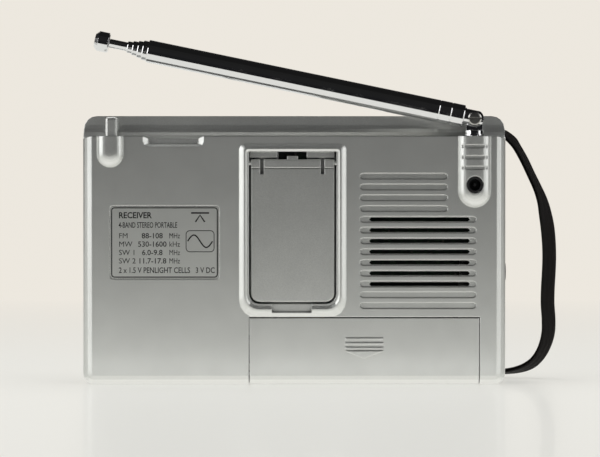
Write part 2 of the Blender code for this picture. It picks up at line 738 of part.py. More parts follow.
def make_aerial_base():
    foot = turned(
        "aerial_base",
        [(0, 77.4 * MM), (1.9 * MM, 77.4 * MM), (1.9 * MM, 80.3 * MM), (3.3 * MM, 80.3 * MM),
         (3.3 * MM, 80.7 * MM), (STEM_RADIUS, 80.8 * MM), (STEM_RADIUS, 81.9 * MM),
         (STEM_RADIUS - 0.2 * MM, 82.1 * MM), (0, 82.1 * MM)],
        Matrix.Translation((STEM_X, STEM_Y, 0)), 28,
    )
    half = TONGUE / 2
    tongue = box("tongue", (STEM_X - 2.6 * MM, STEM_Y - half, 81.5 * MM),
                 (STEM_X + 2.6 * MM, STEM_Y + half, PIVOT_Z))
    eye = cylinder("eye", PIVOT, 2.6 * MM, TONGUE, "Y", 24)
    base = cut(
        join(foot, join(tongue, eye)),
        cylinder("pivot_hole", PIVOT, 0.95 * MM, 9 * MM, "Y", 14),
        cylinder("thread_bore", (STEM_X, STEM_Y, 77.9 * MM), 1.1 * MM, 4.6 * MM, "Z", 14),
    )
    finish(base, chrome(), PIVOT)
    screw = turned(
        "aerial_screw",
        [(0, 75.7 * MM), (2.4 * MM, 75.7 * MM), (3.0 * MM, 76.2 * MM), (3.0 * MM, 77.2 * MM),
         (0.95 * MM, 77.2 * MM), (0.95 * MM, 79.9 * MM), (0, 79.9 * MM)],
        Matrix.Translation((STEM_X, STEM_Y, 0)), 18,
    )
    finish(screw, steel(), PIVOT, base)
    return base


def make_aerial_knuckle():
    """The fork that grips the base's tongue, and the plug that holds the outer tube."""
    knuckle = turned(
        "aerial_knuckle",
        [(0, -3.2 * MM), (KNUCKLE_RADIUS, -3.2 * MM), (KNUCKLE_RADIUS, 3.4 * MM),
         (3.2 * MM, 3.7 * MM), (3.2 * MM, 9.0 * MM), (0, 9.0 * MM)],
        aerial_place(), 24,
    )
    rounding = cylinder("rounding", PIVOT, KNUCKLE_RADIUS, 9 * MM, "Y", 24)
    ahead = box("ahead", (-4 * MM, -4 * MM, 0), (4 * MM, 4 * MM, 10 * MM))
    ahead.data.transform(aerial_place())
    fork_slot = box("fork_slot", (-4 * MM, -TONGUE / 2 - GAP / 2, -5 * MM),
                    (4 * MM, TONGUE / 2 + GAP / 2, 3.0 * MM))
    fork_slot.data.transform(aerial_place())
    knuckle = keep(knuckle, join(rounding, ahead))
    knuckle = cut(knuckle, fork_slot, cylinder("pin_hole", PIVOT, 1.0 * MM, 9 * MM, "Y", 14))
    return finish(knuckle, chrome(), PIVOT)


def make_pivot_screw(knuckle):
    pin = turned(
        "pivot_screw",
        [(0, -2.6 * MM), (0.85 * MM, -2.6 * MM), (0.85 * MM, 3.0 * MM), (2.2 * MM, 3.0 * MM),
         (2.2 * MM, 3.35 * MM), (1.8 * MM, 3.6 * MM), (0, 3.65 * MM)],
        along((0, 1, 0), PIVOT), 20,
    )
    driver_slot = box("driver_slot", (STEM_X - 3 * MM, 12.75 * MM, PIVOT_Z - 0.3 * MM),
                      (STEM_X + 3 * MM, 14 * MM, PIVOT_Z + 0.3 * MM))
    finish(cut(pin, driver_slot), steel(), PIVOT, knuckle)


def tube_profile(start, end, radius):
    """One telescopic tube; its mouth turns in slightly round the next tube."""
    bore = radius - TUBE_WALL
    mouth = 0.25 * MM
    return [
        (bore, start), (radius - 0.1 * MM, start), (radius, start + mouth), (radius, end - mouth),
        (radius - 0.12 * MM, end), (bore, end),
    ]


def make_aerial():
    make_aerial_base()
    knuckle = make_aerial_knuckle()
    make_pivot_screw(knuckle)
    tubes = []
    for i, radius in enumerate(TUBE_RADII):
        profile = tube_profile(TUBE_STARTS[i], TUBE_ENDS[i], radius)
        if i == 0:
            profile[3:3] = sleeve_grooves(radius)
        tube = turned(f"aerial_tube_{i + 1}", profile, aerial_place(), 24 if i == 0 else 16)
        tubes.append(finish(tube, chrome(), PIVOT, knuckle))
    rod = turned(
        "aerial_rod",
        [(0, ROD_START), (ROD_RADIUS, ROD_START), (ROD_RADIUS, CAP_START - 0.05 * MM),
         (0.9 * MM, CAP_START - 0.05 * MM), (0.9 * MM, CAP_END - 2.2 * MM),
         (0, CAP_END - 2.2 * MM)],
        aerial_place(), 18,
    )
    finish(rod, chrome(), PIVOT, knuckle)
    cap = turned(
        "aerial_cap",
        [(0, CAP_END - 2.1 * MM), (1.0 * MM, CAP_END - 2.1 * MM), (1.0 * MM, CAP_START),
         (2.75 * MM, CAP_START), (CAP_RADIUS, CAP_START + 0.35 * MM),
         (CAP_RADIUS, CAP_END - 1.1 * MM), (2.2 * MM, CAP_END), (0, CAP_END)],
        aerial_place(), 24,
    )
    finish(cap, chrome(), PIVOT, knuckle)


def sleeve_grooves(radius):
    """Two rolled grooves near the foot of the outer tube."""
    points = []
    for centre in (7.6 * MM, 11.5 * MM):
        points += [(radius, centre - 0.3 * MM), (radius - 0.12 * MM, centre),
                   (radius, centre + 0.3 * MM)]
    return points


# ---------------------------------------------------------------- speaker

def make_speaker():
    place = along((0, 1, 0), (SPEAKER.x, 0, SPEAKER.z))
    frame = turned(
        "speaker_frame",
        [(r * MM, h * MM) for r, h in (
            (23, -9.9), (23, -8.9), (20.9, -8.9), (12.6, -4.0), (4.5, -4.0), (4.5, -4.9),
            (11.8, -4.9), (19.7, -8.75), (20.1, -9.9),
        )],
        place, 24,
    )
    finish(frame, steel())
    cone = turned(
        "speaker_cone",
        [(r * MM, h * MM) for r, h in (
            (0, -7.5), (3.0, -7.3), (5.4, -6.7), (6.3, -6.5), (12.3, -8.0), (18.4, -9.4),
            (19.2, -9.4), (19.2, -9.05), (18.4, -9.0), (12.2, -7.5), (6.0, -5.9), (4.0, -5.6),
            (4.0, -4.4), (3.6, -4.4), (3.6, -6.2), (2.6, -6.8), (0, -7.0),
        )],
        place, 24,
    )
    finish(cone, material("cone_paper", (0.05, 0.05, 0.05), 0.85), Vector(SPEAKER))
    magnet = cylinder("speaker_magnet", (SPEAKER.x, -0.4 * MM, SPEAKER.z), 10.8 * MM, 6.6 * MM,
                      "Y", 28)
    finish(magnet, material("ferrite", (0.05, 0.05, 0.055), 0.6))


# ---------------------------------------------------------------- dial and tuning

def make_dial():
    lens = join(
        prism("dial_lens", [rounded_rect(2.3 * MM, 61.7 * MM, 52.8 * MM, 75.7 * MM, 1.2 * MM)],
              "Y", -11.7 * MM, -9.6 * MM),
        box("lens_flange", (0.8 * MM, -10.0 * MM, 51.4 * MM), (63.2 * MM, -9.5 * MM, 77.1 * MM)),
    )
    finish(lens, material("clear_lens", (0.8, 0.83, 0.84), 0.05))
    plate = box("dial_plate", (0.8 * MM, -8.0 * MM, 51.4 * MM), (63.2 * MM, -7.4 * MM, 77.1 * MM))
    finish(plate, material("dial_print", (0.05, 0.06, 0.07), 0.5))
    run = cord_run_height()
    pointer = join(
        box("dial_pointer", (POINTER_X - 0.4 * MM, -9.0 * MM, 48.6 * MM),
            (POINTER_X + 0.4 * MM, -8.5 * MM, 75.2 * MM)),
        box("pointer_foot", (POINTER_X - 1.5 * MM, -9.0 * MM, 48.3 * MM),
            (POINTER_X + 1.5 * MM, -3.9 * MM, 50.6 * MM)),
    )
    pointer = cut(pointer, cylinder("cord_hole", (POINTER_X, CORD_Y, run), 0.4 * MM, 9 * MM, "X", 10))
    finish(pointer, material("pointer_red", (0.7, 0.05, 0.04), 0.4),
           Vector((POINTER_X, CORD_Y, run)))


def cord_run_height():
    return PULLEY_LEFT.z + PULLEY_RADIUS + CORD_RADIUS + CORD_GAP


def belt(wheels):
    """The closed path of a belt round circles given anticlockwise as (centre, radius)."""
    normals = []
    for (c1, r1), (c2, r2) in zip(wheels, wheels[1:] + wheels[:1]):
        span = c2 - c1
        lean = (r1 - r2) / span.length
        u = span.normalized()
        right = Vector((u.y, -u.x))
        normals.append(u * lean + right * math.sqrt(1 - lean ** 2))
    path = []
    for i, (centre, radius) in enumerate(wheels):
        start = math.degrees(math.atan2(normals[i - 1].y, normals[i - 1].x))
        end = math.degrees(math.atan2(normals[i].y, normals[i].x))
        end += 360 if end < start else 0
        path += arc(centre, radius, start, end, max(2, round((end - start) / 9)))
    return path


def make_dial_cord():
    grow = CORD_RADIUS + CORD_GAP
    wheels = [
        (Vector((TUNING.x, TUNING.z)), DRUM_RADIUS + grow),
        (Vector((PULLEY_RIGHT.x, PULLEY_RIGHT.z)), PULLEY_RADIUS + grow),
        (Vector((PULLEY_LEFT.x, PULLEY_LEFT.z)), PULLEY_RADIUS + grow),
    ]
    curve = bpy.data.curves.new("dial_cord", "CURVE")
    curve.dimensions = "3D"
    curve.bevel_depth = CORD_RADIUS
    curve.bevel_resolution = 1
    spline = curve.splines.new("POLY")
    path = belt(wheels)
    spline.points.add(len(path) - 1)
    for point, (x, z) in zip(spline.points, path):
        point.co = (x, CORD_Y, z, 1)
    spline.use_cyclic_u = True
    obj = bpy.data.objects.new("dial_cord", curve)
    RECEIVER.objects.link(obj)
    finish(bake(obj, outward=True), material("cord", (0.55, 0.5, 0.4), 0.8))


def make_pulley(name, hub):
    ring = turned(
        name,
        [(r * MM, h * MM) for r, h in (
            (1.15, -5.9), (3.2, -5.9), (3.2, -5.4), (2.4, -5.0), (2.4, -4.4), (3.2, -4.0),
            (3.2, -3.5), (1.15, -3.5),
        )],
        along((0, 1, 0), hub), 20,
    )
    finish(ring, material("white_plastic", (0.75, 0.74, 0.7), 0.4),
           Vector((hub.x, CORD_Y, hub.z)))


def make_tuning():
    rim = prism("tuning_wheel", [knurled((TUNING.x, TUNING.z), TUNING_RADIUS, 0.35 * MM, 48)],
                "Y", -10.0 * MM, -6.4 * MM)
    drum = turned(
        "drum",
        [(r * MM, h * MM) for r, h in (
            (0, -7.0), (14.7, -7.0), (14.7, -5.3), (14.0, -5.0), (14.0, -4.4), (14.7, -4.1),
            (14.7, -3.5), (2.0, -3.5), (2.0, -0.9), (0, -0.9),
        )],
        along((0, 1, 0), TUNING), 32,
    )
    finish(join(rim, drum), black_plastic(), Vector((TUNING.x, -8.2 * MM, TUNING.z)))
    tuner = box("tuning_capacitor", (TUNING.x - 7.8 * MM, -3.1 * MM, TUNING.z - 7.8 * MM),
                (TUNING.x + 7.8 * MM, 3.2 * MM, TUNING.z + 7.8 * MM))
    tuner = cut(bevel(tuner, 0.5 * MM, 1),
                cylinder("shaft_hole", (TUNING.x, -3 * MM, TUNING.z), 2.25 * MM, 5 * MM, "Y", 16))
    finish(tuner, material("cream_plastic", (0.7, 0.68, 0.6), 0.4))


def make_volume():
    wheel = prism("volume_wheel", [knurled((VOLUME.x, VOLUME.z), VOLUME_RADIUS, 0.3 * MM, 36)],
                  "Y", -1.5 * MM, 1.1 * MM)
    wheel = cut(wheel, cylinder("shaft_hole", VOLUME, 1.75 * MM, 9 * MM, "Y", 16))
    finish(wheel, black_plastic(), Vector((VOLUME.x, -0.2 * MM, VOLUME.z)))
    pot = turned(
        "volume_control",
        [(r * MM, h * MM) for r, h in (
            (0, -1.9), (1.5, -1.9), (1.5, 1.5), (7.2, 1.5), (7.2, 3.2), (0, 3.2),
        )],
        along((0, 1, 0), VOLUME), 24,
    )
    finish(pot, material("phenolic", (0.35, 0.22, 0.1), 0.6))


# ---------------------------------------------------------------- switches, sockets and lamps

def make_front_switch(switch_name, knob_name, knob, travel, half):
    """A slide switch on the board and the long-stemmed knob that works it."""
    low, high = knob.x - half - 1.6 * MM, knob.x + travel + half + 1.6 * MM
    body = box(switch_name, (low, -2.8 * MM, knob.z - 2.7 * MM), (high, 3.2 * MM, knob.z + 2.7 * MM))
    body = cut(body, box("lever_slot", (low + 1.0 * MM, -4 * MM, knob.z - 0.9 * MM),
                         (high - 1.0 * MM, -0.5 * MM, knob.z + 0.9 * MM)))
    finish(body, steel())
    cap = box(knob_name, (knob.x - half, -12.4 * MM, knob.z - 1.6 * MM),
              (knob.x + half, -11.45 * MM, knob.z + 1.6 * MM))
    stem = box("stem", (knob.x - half + 1.1 * MM, -11.6 * MM, knob.z - 0.6 * MM),
               (knob.x + half - 1.1 * MM, -0.9 * MM, knob.z + 0.6 * MM))
    ridges = [
        box("ridge", (knob.x + shift - 0.25 * MM, -12.7 * MM, knob.z - 1.3 * MM),
            (knob.x + shift + 0.25 * MM, -12.2 * MM, knob.z + 1.3 * MM))
        for shift in (-0.9 * MM, 0, 0.9 * MM)
    ]
    finish(join(cap, stem, *ridges), black_plastic(), Vector((knob.x, -12 * MM, knob.z)))


def make_side_switch():
    knob = STEREO_KNOB
    body = box("stereo_switch", (-66.0 * MM, 0.6 * MM, 10.8 * MM), (-62.2 * MM, 4.6 * MM, 19.8 * MM))
    body = cut(body, box("lever_slot", (-66.6 * MM, 1.9 * MM, 11.6 * MM),
                         (-64.0 * MM, 3.3 * MM, 19.0 * MM)))
    finish(body, steel())
    lever = box("stereo_knob", (0.1 * MM - HALF_WIDTH, 2.1 * MM, knob.z - 1.5 * MM),
                (-64.4 * MM, 3.1 * MM, knob.z + 1.5 * MM))
    finish(lever, black_plastic(), Vector((0.5 * MM - HALF_WIDTH, knob.y, knob.z)))


def make_sockets():
    body = box("headphone_socket", (-66.0 * MM, 0.2 * MM, 33.4 * MM), (-54 * MM, 6.2 * MM, 39 * MM))
    barrel = cylinder("barrel", (-67.1 * MM, HEADPHONE.y, HEADPHONE.z), 2.8 * MM, 2.8 * MM, "X", 20)
    bore = cylinder("bore", (-62.2 * MM, HEADPHONE.y, HEADPHONE.z), 1.8 * MM, 13.4 * MM, "X", 16)
    finish(cut(join(body, barrel), bore), black_plastic())
    body = box("dc_socket", (STEM_X - 3.5 * MM, 5.2 * MM, 60.5 * MM),
               (STEM_X + 3.5 * MM, 12.6 * MM, 68.5 * MM))
    barrel = cylinder("barrel", (STEM_X, 13 * MM, DC_SOCKET_Z), 2.6 * MM, 2.6 * MM, "Y", 24)
    bore = cylinder("bore", (STEM_X, 11.5 * MM, DC_SOCKET_Z), 1.9 * MM, 10 * MM, "Y", 20)
    pin = cylinder("pin", (STEM_X, 9.7 * MM, DC_SOCKET_Z), 0.5 * MM, 7 * MM, "Y", 12)
    finish(cut(join(body, barrel), cut(bore, pin)), black_plastic())


def make_lamps():
    for name, x, colour in (
        ("led_tune", LED_X[0], (0.8, 0.06, 0.04)), ("led_stereo", LED_X[1], (0.1, 0.6, 0.1)),
    ):
        lamp = turned(
            name,
            [(r * MM, h * MM) for r, h in (
                (0, -12.2), (0.9, -12.0), (1.4, -11.3), (1.4, -9.0), (1.8, -9.0), (1.8, -8.2),
                (1.1, -8.2), (1.1, 3.2), (0, 3.2),
            )],
            along((0, 1, 0), (x, 0, LED_Z)), 12,
        )
        finish(lamp, material(name, colour, 0.2))


# ---------------------------------------------------------------- board, batteries, screws

def make_board():
    outline = [
        (-53.4, 34), (17, 34), (17, 4), (62, 4), (62, 76.5), (-62, 76.5), (-62, 41.5),
        (-53.4, 41.5),
    ]
    holes = [arc(centre, 1.25 * MM, 0, 330, 11) for centre in BOARD_SCREWS]
    corners = [(x * MM, z * MM) for x, z in outline]
    plate = prism("main_board", [corners, *holes], "Y", PCB_FRONT, PCB_BACK)
    finish(plate, board())
    block_parts = (
        ("if_can_1", (6.0, 62.0), 3.5, 3.5, -4.0, 3.2, steel()),
        ("if_can_2", (16.0, 62.0), 3.5, 3.5, -4.0, 3.2, steel()),
        ("chip_tuner", (30.0, 49.0), 3.6, 9.0, 5.2, 8.4, black_plastic()),
        ("chip_audio", (-36.0, 61.0), 3.3, 5.0, 5.2, 8.4, black_plastic()),
    )
    for name, (x, z), half_x, half_z, near, far, skin in block_parts:
        block = box(name, ((x - half_x) * MM, near * MM, (z - half_z) * MM),
                    ((x + half_x) * MM, far * MM, (z + half_z) * MM))
        finish(bevel(block, 0.4 * MM, 1), skin)
    drum = cylinder("filter_capacitor", (44 * MM, -1.6 * MM, 62 * MM), 3.1 * MM, 9.6 * MM, "Y", 20)
    finish(drum, material("sleeve_blue", (0.05, 0.08, 0.25), 0.35))


def make_ferrite():
    y, z, radius = -3.0 * MM, 79.5 * MM, 3.6 * MM
    finish(cylinder("ferrite_rod", (28.5 * MM, y, z), radius, 67 * MM, "X", 20),
           material("ferrite", (0.05, 0.05, 0.055), 0.6))
    coil = turned(
        "ferrite_coil",
        [(radius + 0.15 * MM, -8 * MM), (radius + 0.9 * MM, -8 * MM), (radius + 0.9 * MM, 8 * MM),
         (radius + 0.15 * MM, 8 * MM)],
        along((1, 0, 0), (24 * MM, y, z)), 20,
    )
    finish(coil, material("copper", (0.7, 0.35, 0.2), 0.35, 1.0))
    for name, x in (("rod_holder_left", -2.5 * MM), ("rod_holder_right", 57.5 * MM)):
        holder = box(name, (x, -7.3 * MM, 72.5 * MM), (x + 3 * MM, 3.1 * MM, 83.8 * MM))
        bore = cylinder("bore", (x, y, z), radius + 0.15 * MM, 12 * MM, "X", 20)
        finish(cut(holder, bore), black_plastic())


def make_cell(name, centre, direction):
    half = CELL_BODY / 2
    cell = turned(
        name,
        [(0, -half), (6.6 * MM, -half), (CELL_RADIUS, -half + 0.4 * MM),
         (CELL_RADIUS, half - 0.4 * MM), (6.6 * MM, half), (2.7 * MM, half),
         (2.6 * MM, half + 1.5 * MM), (0, half + 1.5 * MM)],
        along((direction, 0, 0), centre), 24,
    )
    finish(cell, material("cell_jacket", (0.1, 0.12, 0.15), 0.35))


def spring(name, start, centre, direction, length):
    """A conical coil along X standing on a contact plate."""
    turns, steps = 3, 10
    curve = bpy.data.curves.new(name, "CURVE")
    curve.dimensions = "3D"
    curve.bevel_depth = 0.3 * MM
    curve.bevel_resolution = 0
    curve.use_fill_caps = True
    spline = curve.splines.new("POLY")
    count = turns * steps + 1
    spline.points.add(count - 1)
    for i, point in enumerate(spline.points):
        share = i / (count - 1)
        angle = math.tau * turns * share
        radius = (4.2 - 1.8 * share) * MM
        point.co = (
            start + direction * length * share,
            centre.y + radius * math.cos(angle), centre.z + radius * math.sin(angle), 1,
        )
    obj = bpy.data.objects.new(name, curve)
    RECEIVER.objects.link(obj)
    return bake(obj, outward=True)


def make_contacts():
    left, right, thick = -51.2 * MM, 5.0 * MM, 0.3 * MM
    low, high = LOWER_CELL, UPPER_CELL
    plate = join(
        box("contact_bridge", (left - thick, low.y - 4.8 * MM, low.z - 4.8 * MM),
            (left, low.y + 4.8 * MM, low.z + 5.2 * MM)),
        box("link", (left - thick, -2.4 * MM, low.z), (left, 2.2 * MM, high.z)),
        box("upper_plate", (left - thick, high.y - 4.8 * MM, high.z - 4.8 * MM),
            (left, high.y + 4.8 * MM, high.z + 4.8 * MM)),
        cylinder("button", (left + 0.7 * MM, high.y, high.z), 2.4 * MM, 2.0 * MM, "X", 14),
        spring("spring", left - 0.1 * MM, low, 1, 3.1 * MM),
    )
    finish(plate, steel())
    plate = join(
        box("contact_positive", (right, low.y - 4.8 * MM, low.z - 4.8 * MM),
            (right + thick, low.y + 4.8 * MM, low.z + 4.4 * MM)),
        cylinder("button", (right - 0.6 * MM, low.y, low.z), 2.4 * MM, 1.8 * MM, "X", 14),
    )
    finish(plate, steel())
    plate = join(
        box("contact_negative", (right, high.y - 4.8 * MM, high.z - 4.4 * MM),
            (right + thick, high.y + 4.8 * MM, high.z + 4.8 * MM)),
        spring("spring", right + 0.1 * MM, high, -1, 2.9 * MM),
    )
    finish(plate, steel())


def make_screw(name, x, z, head_y, shank, radius):
    """A pan-head screw driven toward the front."""
    head = radius * 2.2
    screw = turned(
        name,
        [(0, head_y - shank), (radius, head_y - shank), (radius, head_y), (head, head_y),
         (head, head_y + 0.7 * MM), (head * 0.7, head_y + 1.2 * MM), (0, head_y + 1.3 * MM)],
        along((0, 1, 0), (x, 0, z)), 16,
    )
    slot_cutter = box("driver_slot", (x - head * 0.6, head_y + 0.7 * MM, z - 0.25 * MM),
                      (x + head * 0.6, head_y + 2 * MM, z + 0.25 * MM))
    finish(cut(screw, slot_cutter), steel())


# ---------------------------------------------------------------- strap

def make_strap():
    """A doubled tape on a bar in the side of the front shell, resting in a loop on the table."""
    outline = bpy.data.curves.new("tape_section", "CURVE")
    outline.dimensions = "2D"
    section = outline.splines.new("POLY")
    corners = rounded_rect(-2.2 * MM, 2.2 * MM, -0.9 * MM, 0.9 * MM, 0.6 * MM, steps=1)
    section.points.add(len(corners) - 1)
    for point, (u, v) in zip(section.points, corners):
        point.co = (u, v, 0, 1)
    section.use_cyclic_u = True
    section_object = bpy.data.objects.new("tape_section", outline)
    RECEIVER.objects.link(section_object)
    curve = bpy.data.curves.new("wrist_strap", "CURVE")
    curve.dimensions = "3D"
    curve.twist_mode = "MINIMUM"
    curve.bevel_mode = "OBJECT"
    curve.bevel_object = section_object
    curve.use_fill_caps = True
    spline = curve.splines.new("POLY")
    spline.points.add(len(STRAP_PATH) - 1)
    for point, (x, y, z, turn) in zip(spline.points, STRAP_PATH):
        point.co = (x * MM, y * MM, z * MM, 1)
        point.tilt = math.radians(turn)
    obj = bpy.data.objects.new("wrist_strap", curve)
    RECEIVER.objects.link(obj)
    strap = bake(obj, outward=True)
    bpy.data.objects.remove(section_object)
    eye = turned(
        "strap_eye",
        [(1.2 * MM, -2.2 * MM), (1.95 * MM, -2.2 * MM), (1.95 * MM, 2.2 * MM), (1.2 * MM, 2.2 * MM)],
        along((0, 1, 0), STRAP_BAR), 18,
    )
    bore = cylinder("bar_space", STRAP_BAR, 1.2 * MM, 9 * MM, "Y", 18)
    strap = cut(join(strap, eye), bore)
    finish(strap, material("black_webbing", (0.02, 0.02, 0.02), 0.9), Vector(STRAP_BAR))


# ---------------------------------------------------------------- assembly

clear_scene()
RECEIVER = bpy.data.collections.new("shortwave_receiver")
bpy.context.scene.collection.children.link(RECEIVER)

make_back_cover()
make_front_shell()
make_label()
make_battery_door()
make_stand()
make_aerial()
make_speaker()
make_dial()
make_dial_cord()
make_pulley("cord_pulley_left", PULLEY_LEFT)
make_pulley("cord_pulley_right", PULLEY_RIGHT)
make_tuning()
make_volume()
make_front_switch("band_switch", "band_knob", BAND_KNOB, BAND_TRAVEL, 3.0 * MM)
make_front_switch("power_switch", "power_knob", POWER_KNOB, POWER_TRAVEL, 2.2 * MM)
make_side_switch()
make_sockets()
make_lamps()
make_board()
make_ferrite()
make_cell("cell_lower", LOWER_CELL, 1)
make_cell("cell_upper", UPPER_CELL, -1)
make_contacts()
for label, (px, pz) in zip(("case_screw_right", "case_screw_left"), CASE_SCREWS):
    make_screw(label, px, pz, 5.1 * MM, 8.0 * MM, 0.9 * MM)
for label, (px, pz) in zip(("board_screw_right", "board_screw_left"), BOARD_SCREWS):
    make_screw(label, px, pz, 5.1 * MM, 7.0 * MM, 0.75 * MM)
make_strap()
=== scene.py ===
import json
import math

import bmesh
import bpy
from mathutils import Matrix, Vector


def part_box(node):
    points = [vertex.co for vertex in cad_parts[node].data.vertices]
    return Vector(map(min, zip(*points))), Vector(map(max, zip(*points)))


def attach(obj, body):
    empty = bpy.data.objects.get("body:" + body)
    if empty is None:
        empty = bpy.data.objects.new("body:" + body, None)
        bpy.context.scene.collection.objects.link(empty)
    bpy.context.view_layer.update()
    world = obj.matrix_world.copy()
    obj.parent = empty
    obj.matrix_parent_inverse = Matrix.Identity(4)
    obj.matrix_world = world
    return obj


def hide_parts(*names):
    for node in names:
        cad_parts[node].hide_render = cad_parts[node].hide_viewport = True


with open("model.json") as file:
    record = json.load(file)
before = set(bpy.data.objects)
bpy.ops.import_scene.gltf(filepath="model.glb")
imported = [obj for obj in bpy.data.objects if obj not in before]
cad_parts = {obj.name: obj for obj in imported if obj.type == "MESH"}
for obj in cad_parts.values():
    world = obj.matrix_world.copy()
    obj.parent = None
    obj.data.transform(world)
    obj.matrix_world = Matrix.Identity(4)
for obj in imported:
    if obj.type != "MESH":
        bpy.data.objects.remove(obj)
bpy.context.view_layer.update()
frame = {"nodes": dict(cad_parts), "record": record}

MM = 0.001
NODES = frame["nodes"]

# Linear colours.
BACKDROP = (0.845, 0.805, 0.735)
TABLE_WHITE = (0.83, 0.82, 0.77)
TABLE_SEEN = (0.87, 0.87, 0.83)        # glow that softens shadows on the table
TABLE_REFLECTED = (0.84, 0.84, 0.80)   # how bright the table looks in the object's reflections
SILVER = (0.70, 0.71, 0.685)
SILVER_RUBBED = (0.70, 0.70, 0.68)     # where corners are worn
SILVER_PAINTED_REFLECTION = (0.95, 0.95, 0.93)      # painted reflection of the pale table where an edge turns down to it
# painted shade, for crevices and for the inside of the case
PAINTED_SHADE = (0.012, 0.012, 0.012)
INK = (0.012, 0.012, 0.012)
PALE_INK = (0.72, 0.70, 0.62)

# The hollow of the case, whose walls are painted dark as shade: its middle and how far it reaches
# each way.
HOLLOW_MIDDLE = Vector((0, -0.8, 38.5)) * MM
HOLLOW_REACH = Vector((65, 9.3, 36)) * MM
CREVICE = 2.6 * MM                # gaps narrower than this get painted shade
SHADE_FADE_HEIGHTS = (3.0 * MM, 5.0 * MM)  # the painted shade fades in from and to these heights

# Printed matter stands this far off the face that it is printed on.
FILM = 0.02 * MM


# ---------------------------------------------------------------- node helpers

class Skin:
    """A node material under construction, ending in one Principled shader."""

    def __init__(self, name):
        self.material = bpy.data.materials.new(name)
        self.material.use_nodes = True
        self.tree = self.material.node_tree
        self.shader = self.tree.nodes["Principled BSDF"]

    def node(self, kind, settings=None, **inputs):
        """A node with these properties set and these inputs fed; _ in a name stands for a space."""
        made = self.tree.nodes.new(kind)
        for key, value in (settings or {}).items():
            setattr(made, key, value)
        for key, value in inputs.items():
            self.feed(made, key.replace("_", " "), value)
        return made

    def feed(self, node, key, value):
        """Links or sets the input with this name."""
        socket = next(s for s in node.inputs if s.name == key and s.enabled)
        if isinstance(value, bpy.types.NodeSocket):
            self.tree.links.new(value, socket)
        else:
            socket.default_value = value

    def set(self, **inputs):
        """Feeds the Principled shader."""
        for key, value in inputs.items():
            self.feed(self.shader, key.replace("_", " "), value)

    def place(self, scale=(1, 1, 1), uv=False):
        """Object (or UV) coordinates, in metres, stretched by scale."""
        source = self.node("ShaderNodeTexCoord").outputs["UV" if uv else "Object"]
        return self.node("ShaderNodeMapping", Vector=source, Scale=scale).outputs["Vector"]

    def noise(self, size, detail=2.0, rough=0.5, where=None):
        """Noise whose features are about size metres across."""
        found = self.node("ShaderNodeTexNoise", Vector=where or self.place(), Scale=1.0 / size,
                          Detail=detail, Roughness=rough)
        return found.outputs["Fac"]

    def wave(self, pitch, axis, where=None):
        """A sine from 0 to 1 that repeats every pitch metres along the axis."""
        parts = self.node("ShaderNodeSeparateXYZ", Vector=where or self.place())
        turn = self.math("MULTIPLY", parts.outputs[axis], 2 * math.pi / pitch)
        return self.span(self.math("SINE", turn), -1.0, 1.0, 0.0, 1.0)

    def span(self, value, low, high, to_low, to_high):
        """The value carried from one range to another and held inside it."""
        return self.node("ShaderNodeMapRange", Value=value, From_Min=low, From_Max=high,
                         To_Min=to_low, To_Max=to_high).outputs["Result"]

    def math(self, kind, a, b=0.0):
        """One operation on two values, each a node's output or a number."""
        made = self.tree.nodes.new("ShaderNodeMath")
        made.operation = kind
        for socket, value in zip(made.inputs, (a, b)):
            if isinstance(value, bpy.types.NodeSocket):
                self.tree.links.new(value, socket)
            else:
                socket.default_value = value
        return made.outputs[0]

    def within(self, value, middle, reach):
        """1 where the value lies within reach of the middle, else 0."""
        away = self.math("ABSOLUTE", self.math("SUBTRACT", value, middle))
        return self.math("LESS_THAN", away, reach)

    def mix(self, factor, a, b):
        """Colour a at factor 0, colour b at factor 1."""
        made = self.tree.nodes.new("ShaderNodeMix")
        made.data_type = "RGBA"
        for index, value in ((0, factor), (6, a), (7, b)):
            socket = made.inputs[index]
            if isinstance(value, bpy.types.NodeSocket):
                self.tree.links.new(value, socket)
            elif index:
                socket.default_value = (*value, 1.0)
            else:
                socket.default_value = value
        return made.outputs[2]

    def rounded(self, radius, samples=6):
        """Normals that turn smoothly round an edge over this radius."""
        return self.node("ShaderNodeBevel", {"samples": samples}, Radius=radius).outputs["Normal"]

    def edges(self, normal):
        """1 on sharp edges, 0 on flat ground, from the rounded normals."""
        flat = self.node("ShaderNodeNewGeometry").outputs["Normal"]
        dot = self.node("ShaderNodeVectorMath", {"operation": "DOT_PRODUCT"})
        self.tree.links.new(normal, dot.inputs[0])
        self.tree.links.new(flat, dot.inputs[1])
        return self.span(dot.outputs["Value"], 1.0, 0.9, 0.0, 1.0)

    def open_air(self, reach):
        """1 in the open, falling towards 0 inside crevices narrower than reach."""
        return self.node("ShaderNodeAmbientOcclusion", {"samples": 6}, Distance=reach).outputs["AO"]

    def bump(self, height, strength, distance, normal=None):
        """Normals tilted by a height."""
        made = self.node("ShaderNodeBump", Strength=strength, Distance=distance, Height=height)
        if normal is not None:
            self.tree.links.new(normal, made.inputs["Normal"])
        return made.outputs["Normal"]


# ---------------------------------------------------------------- materials

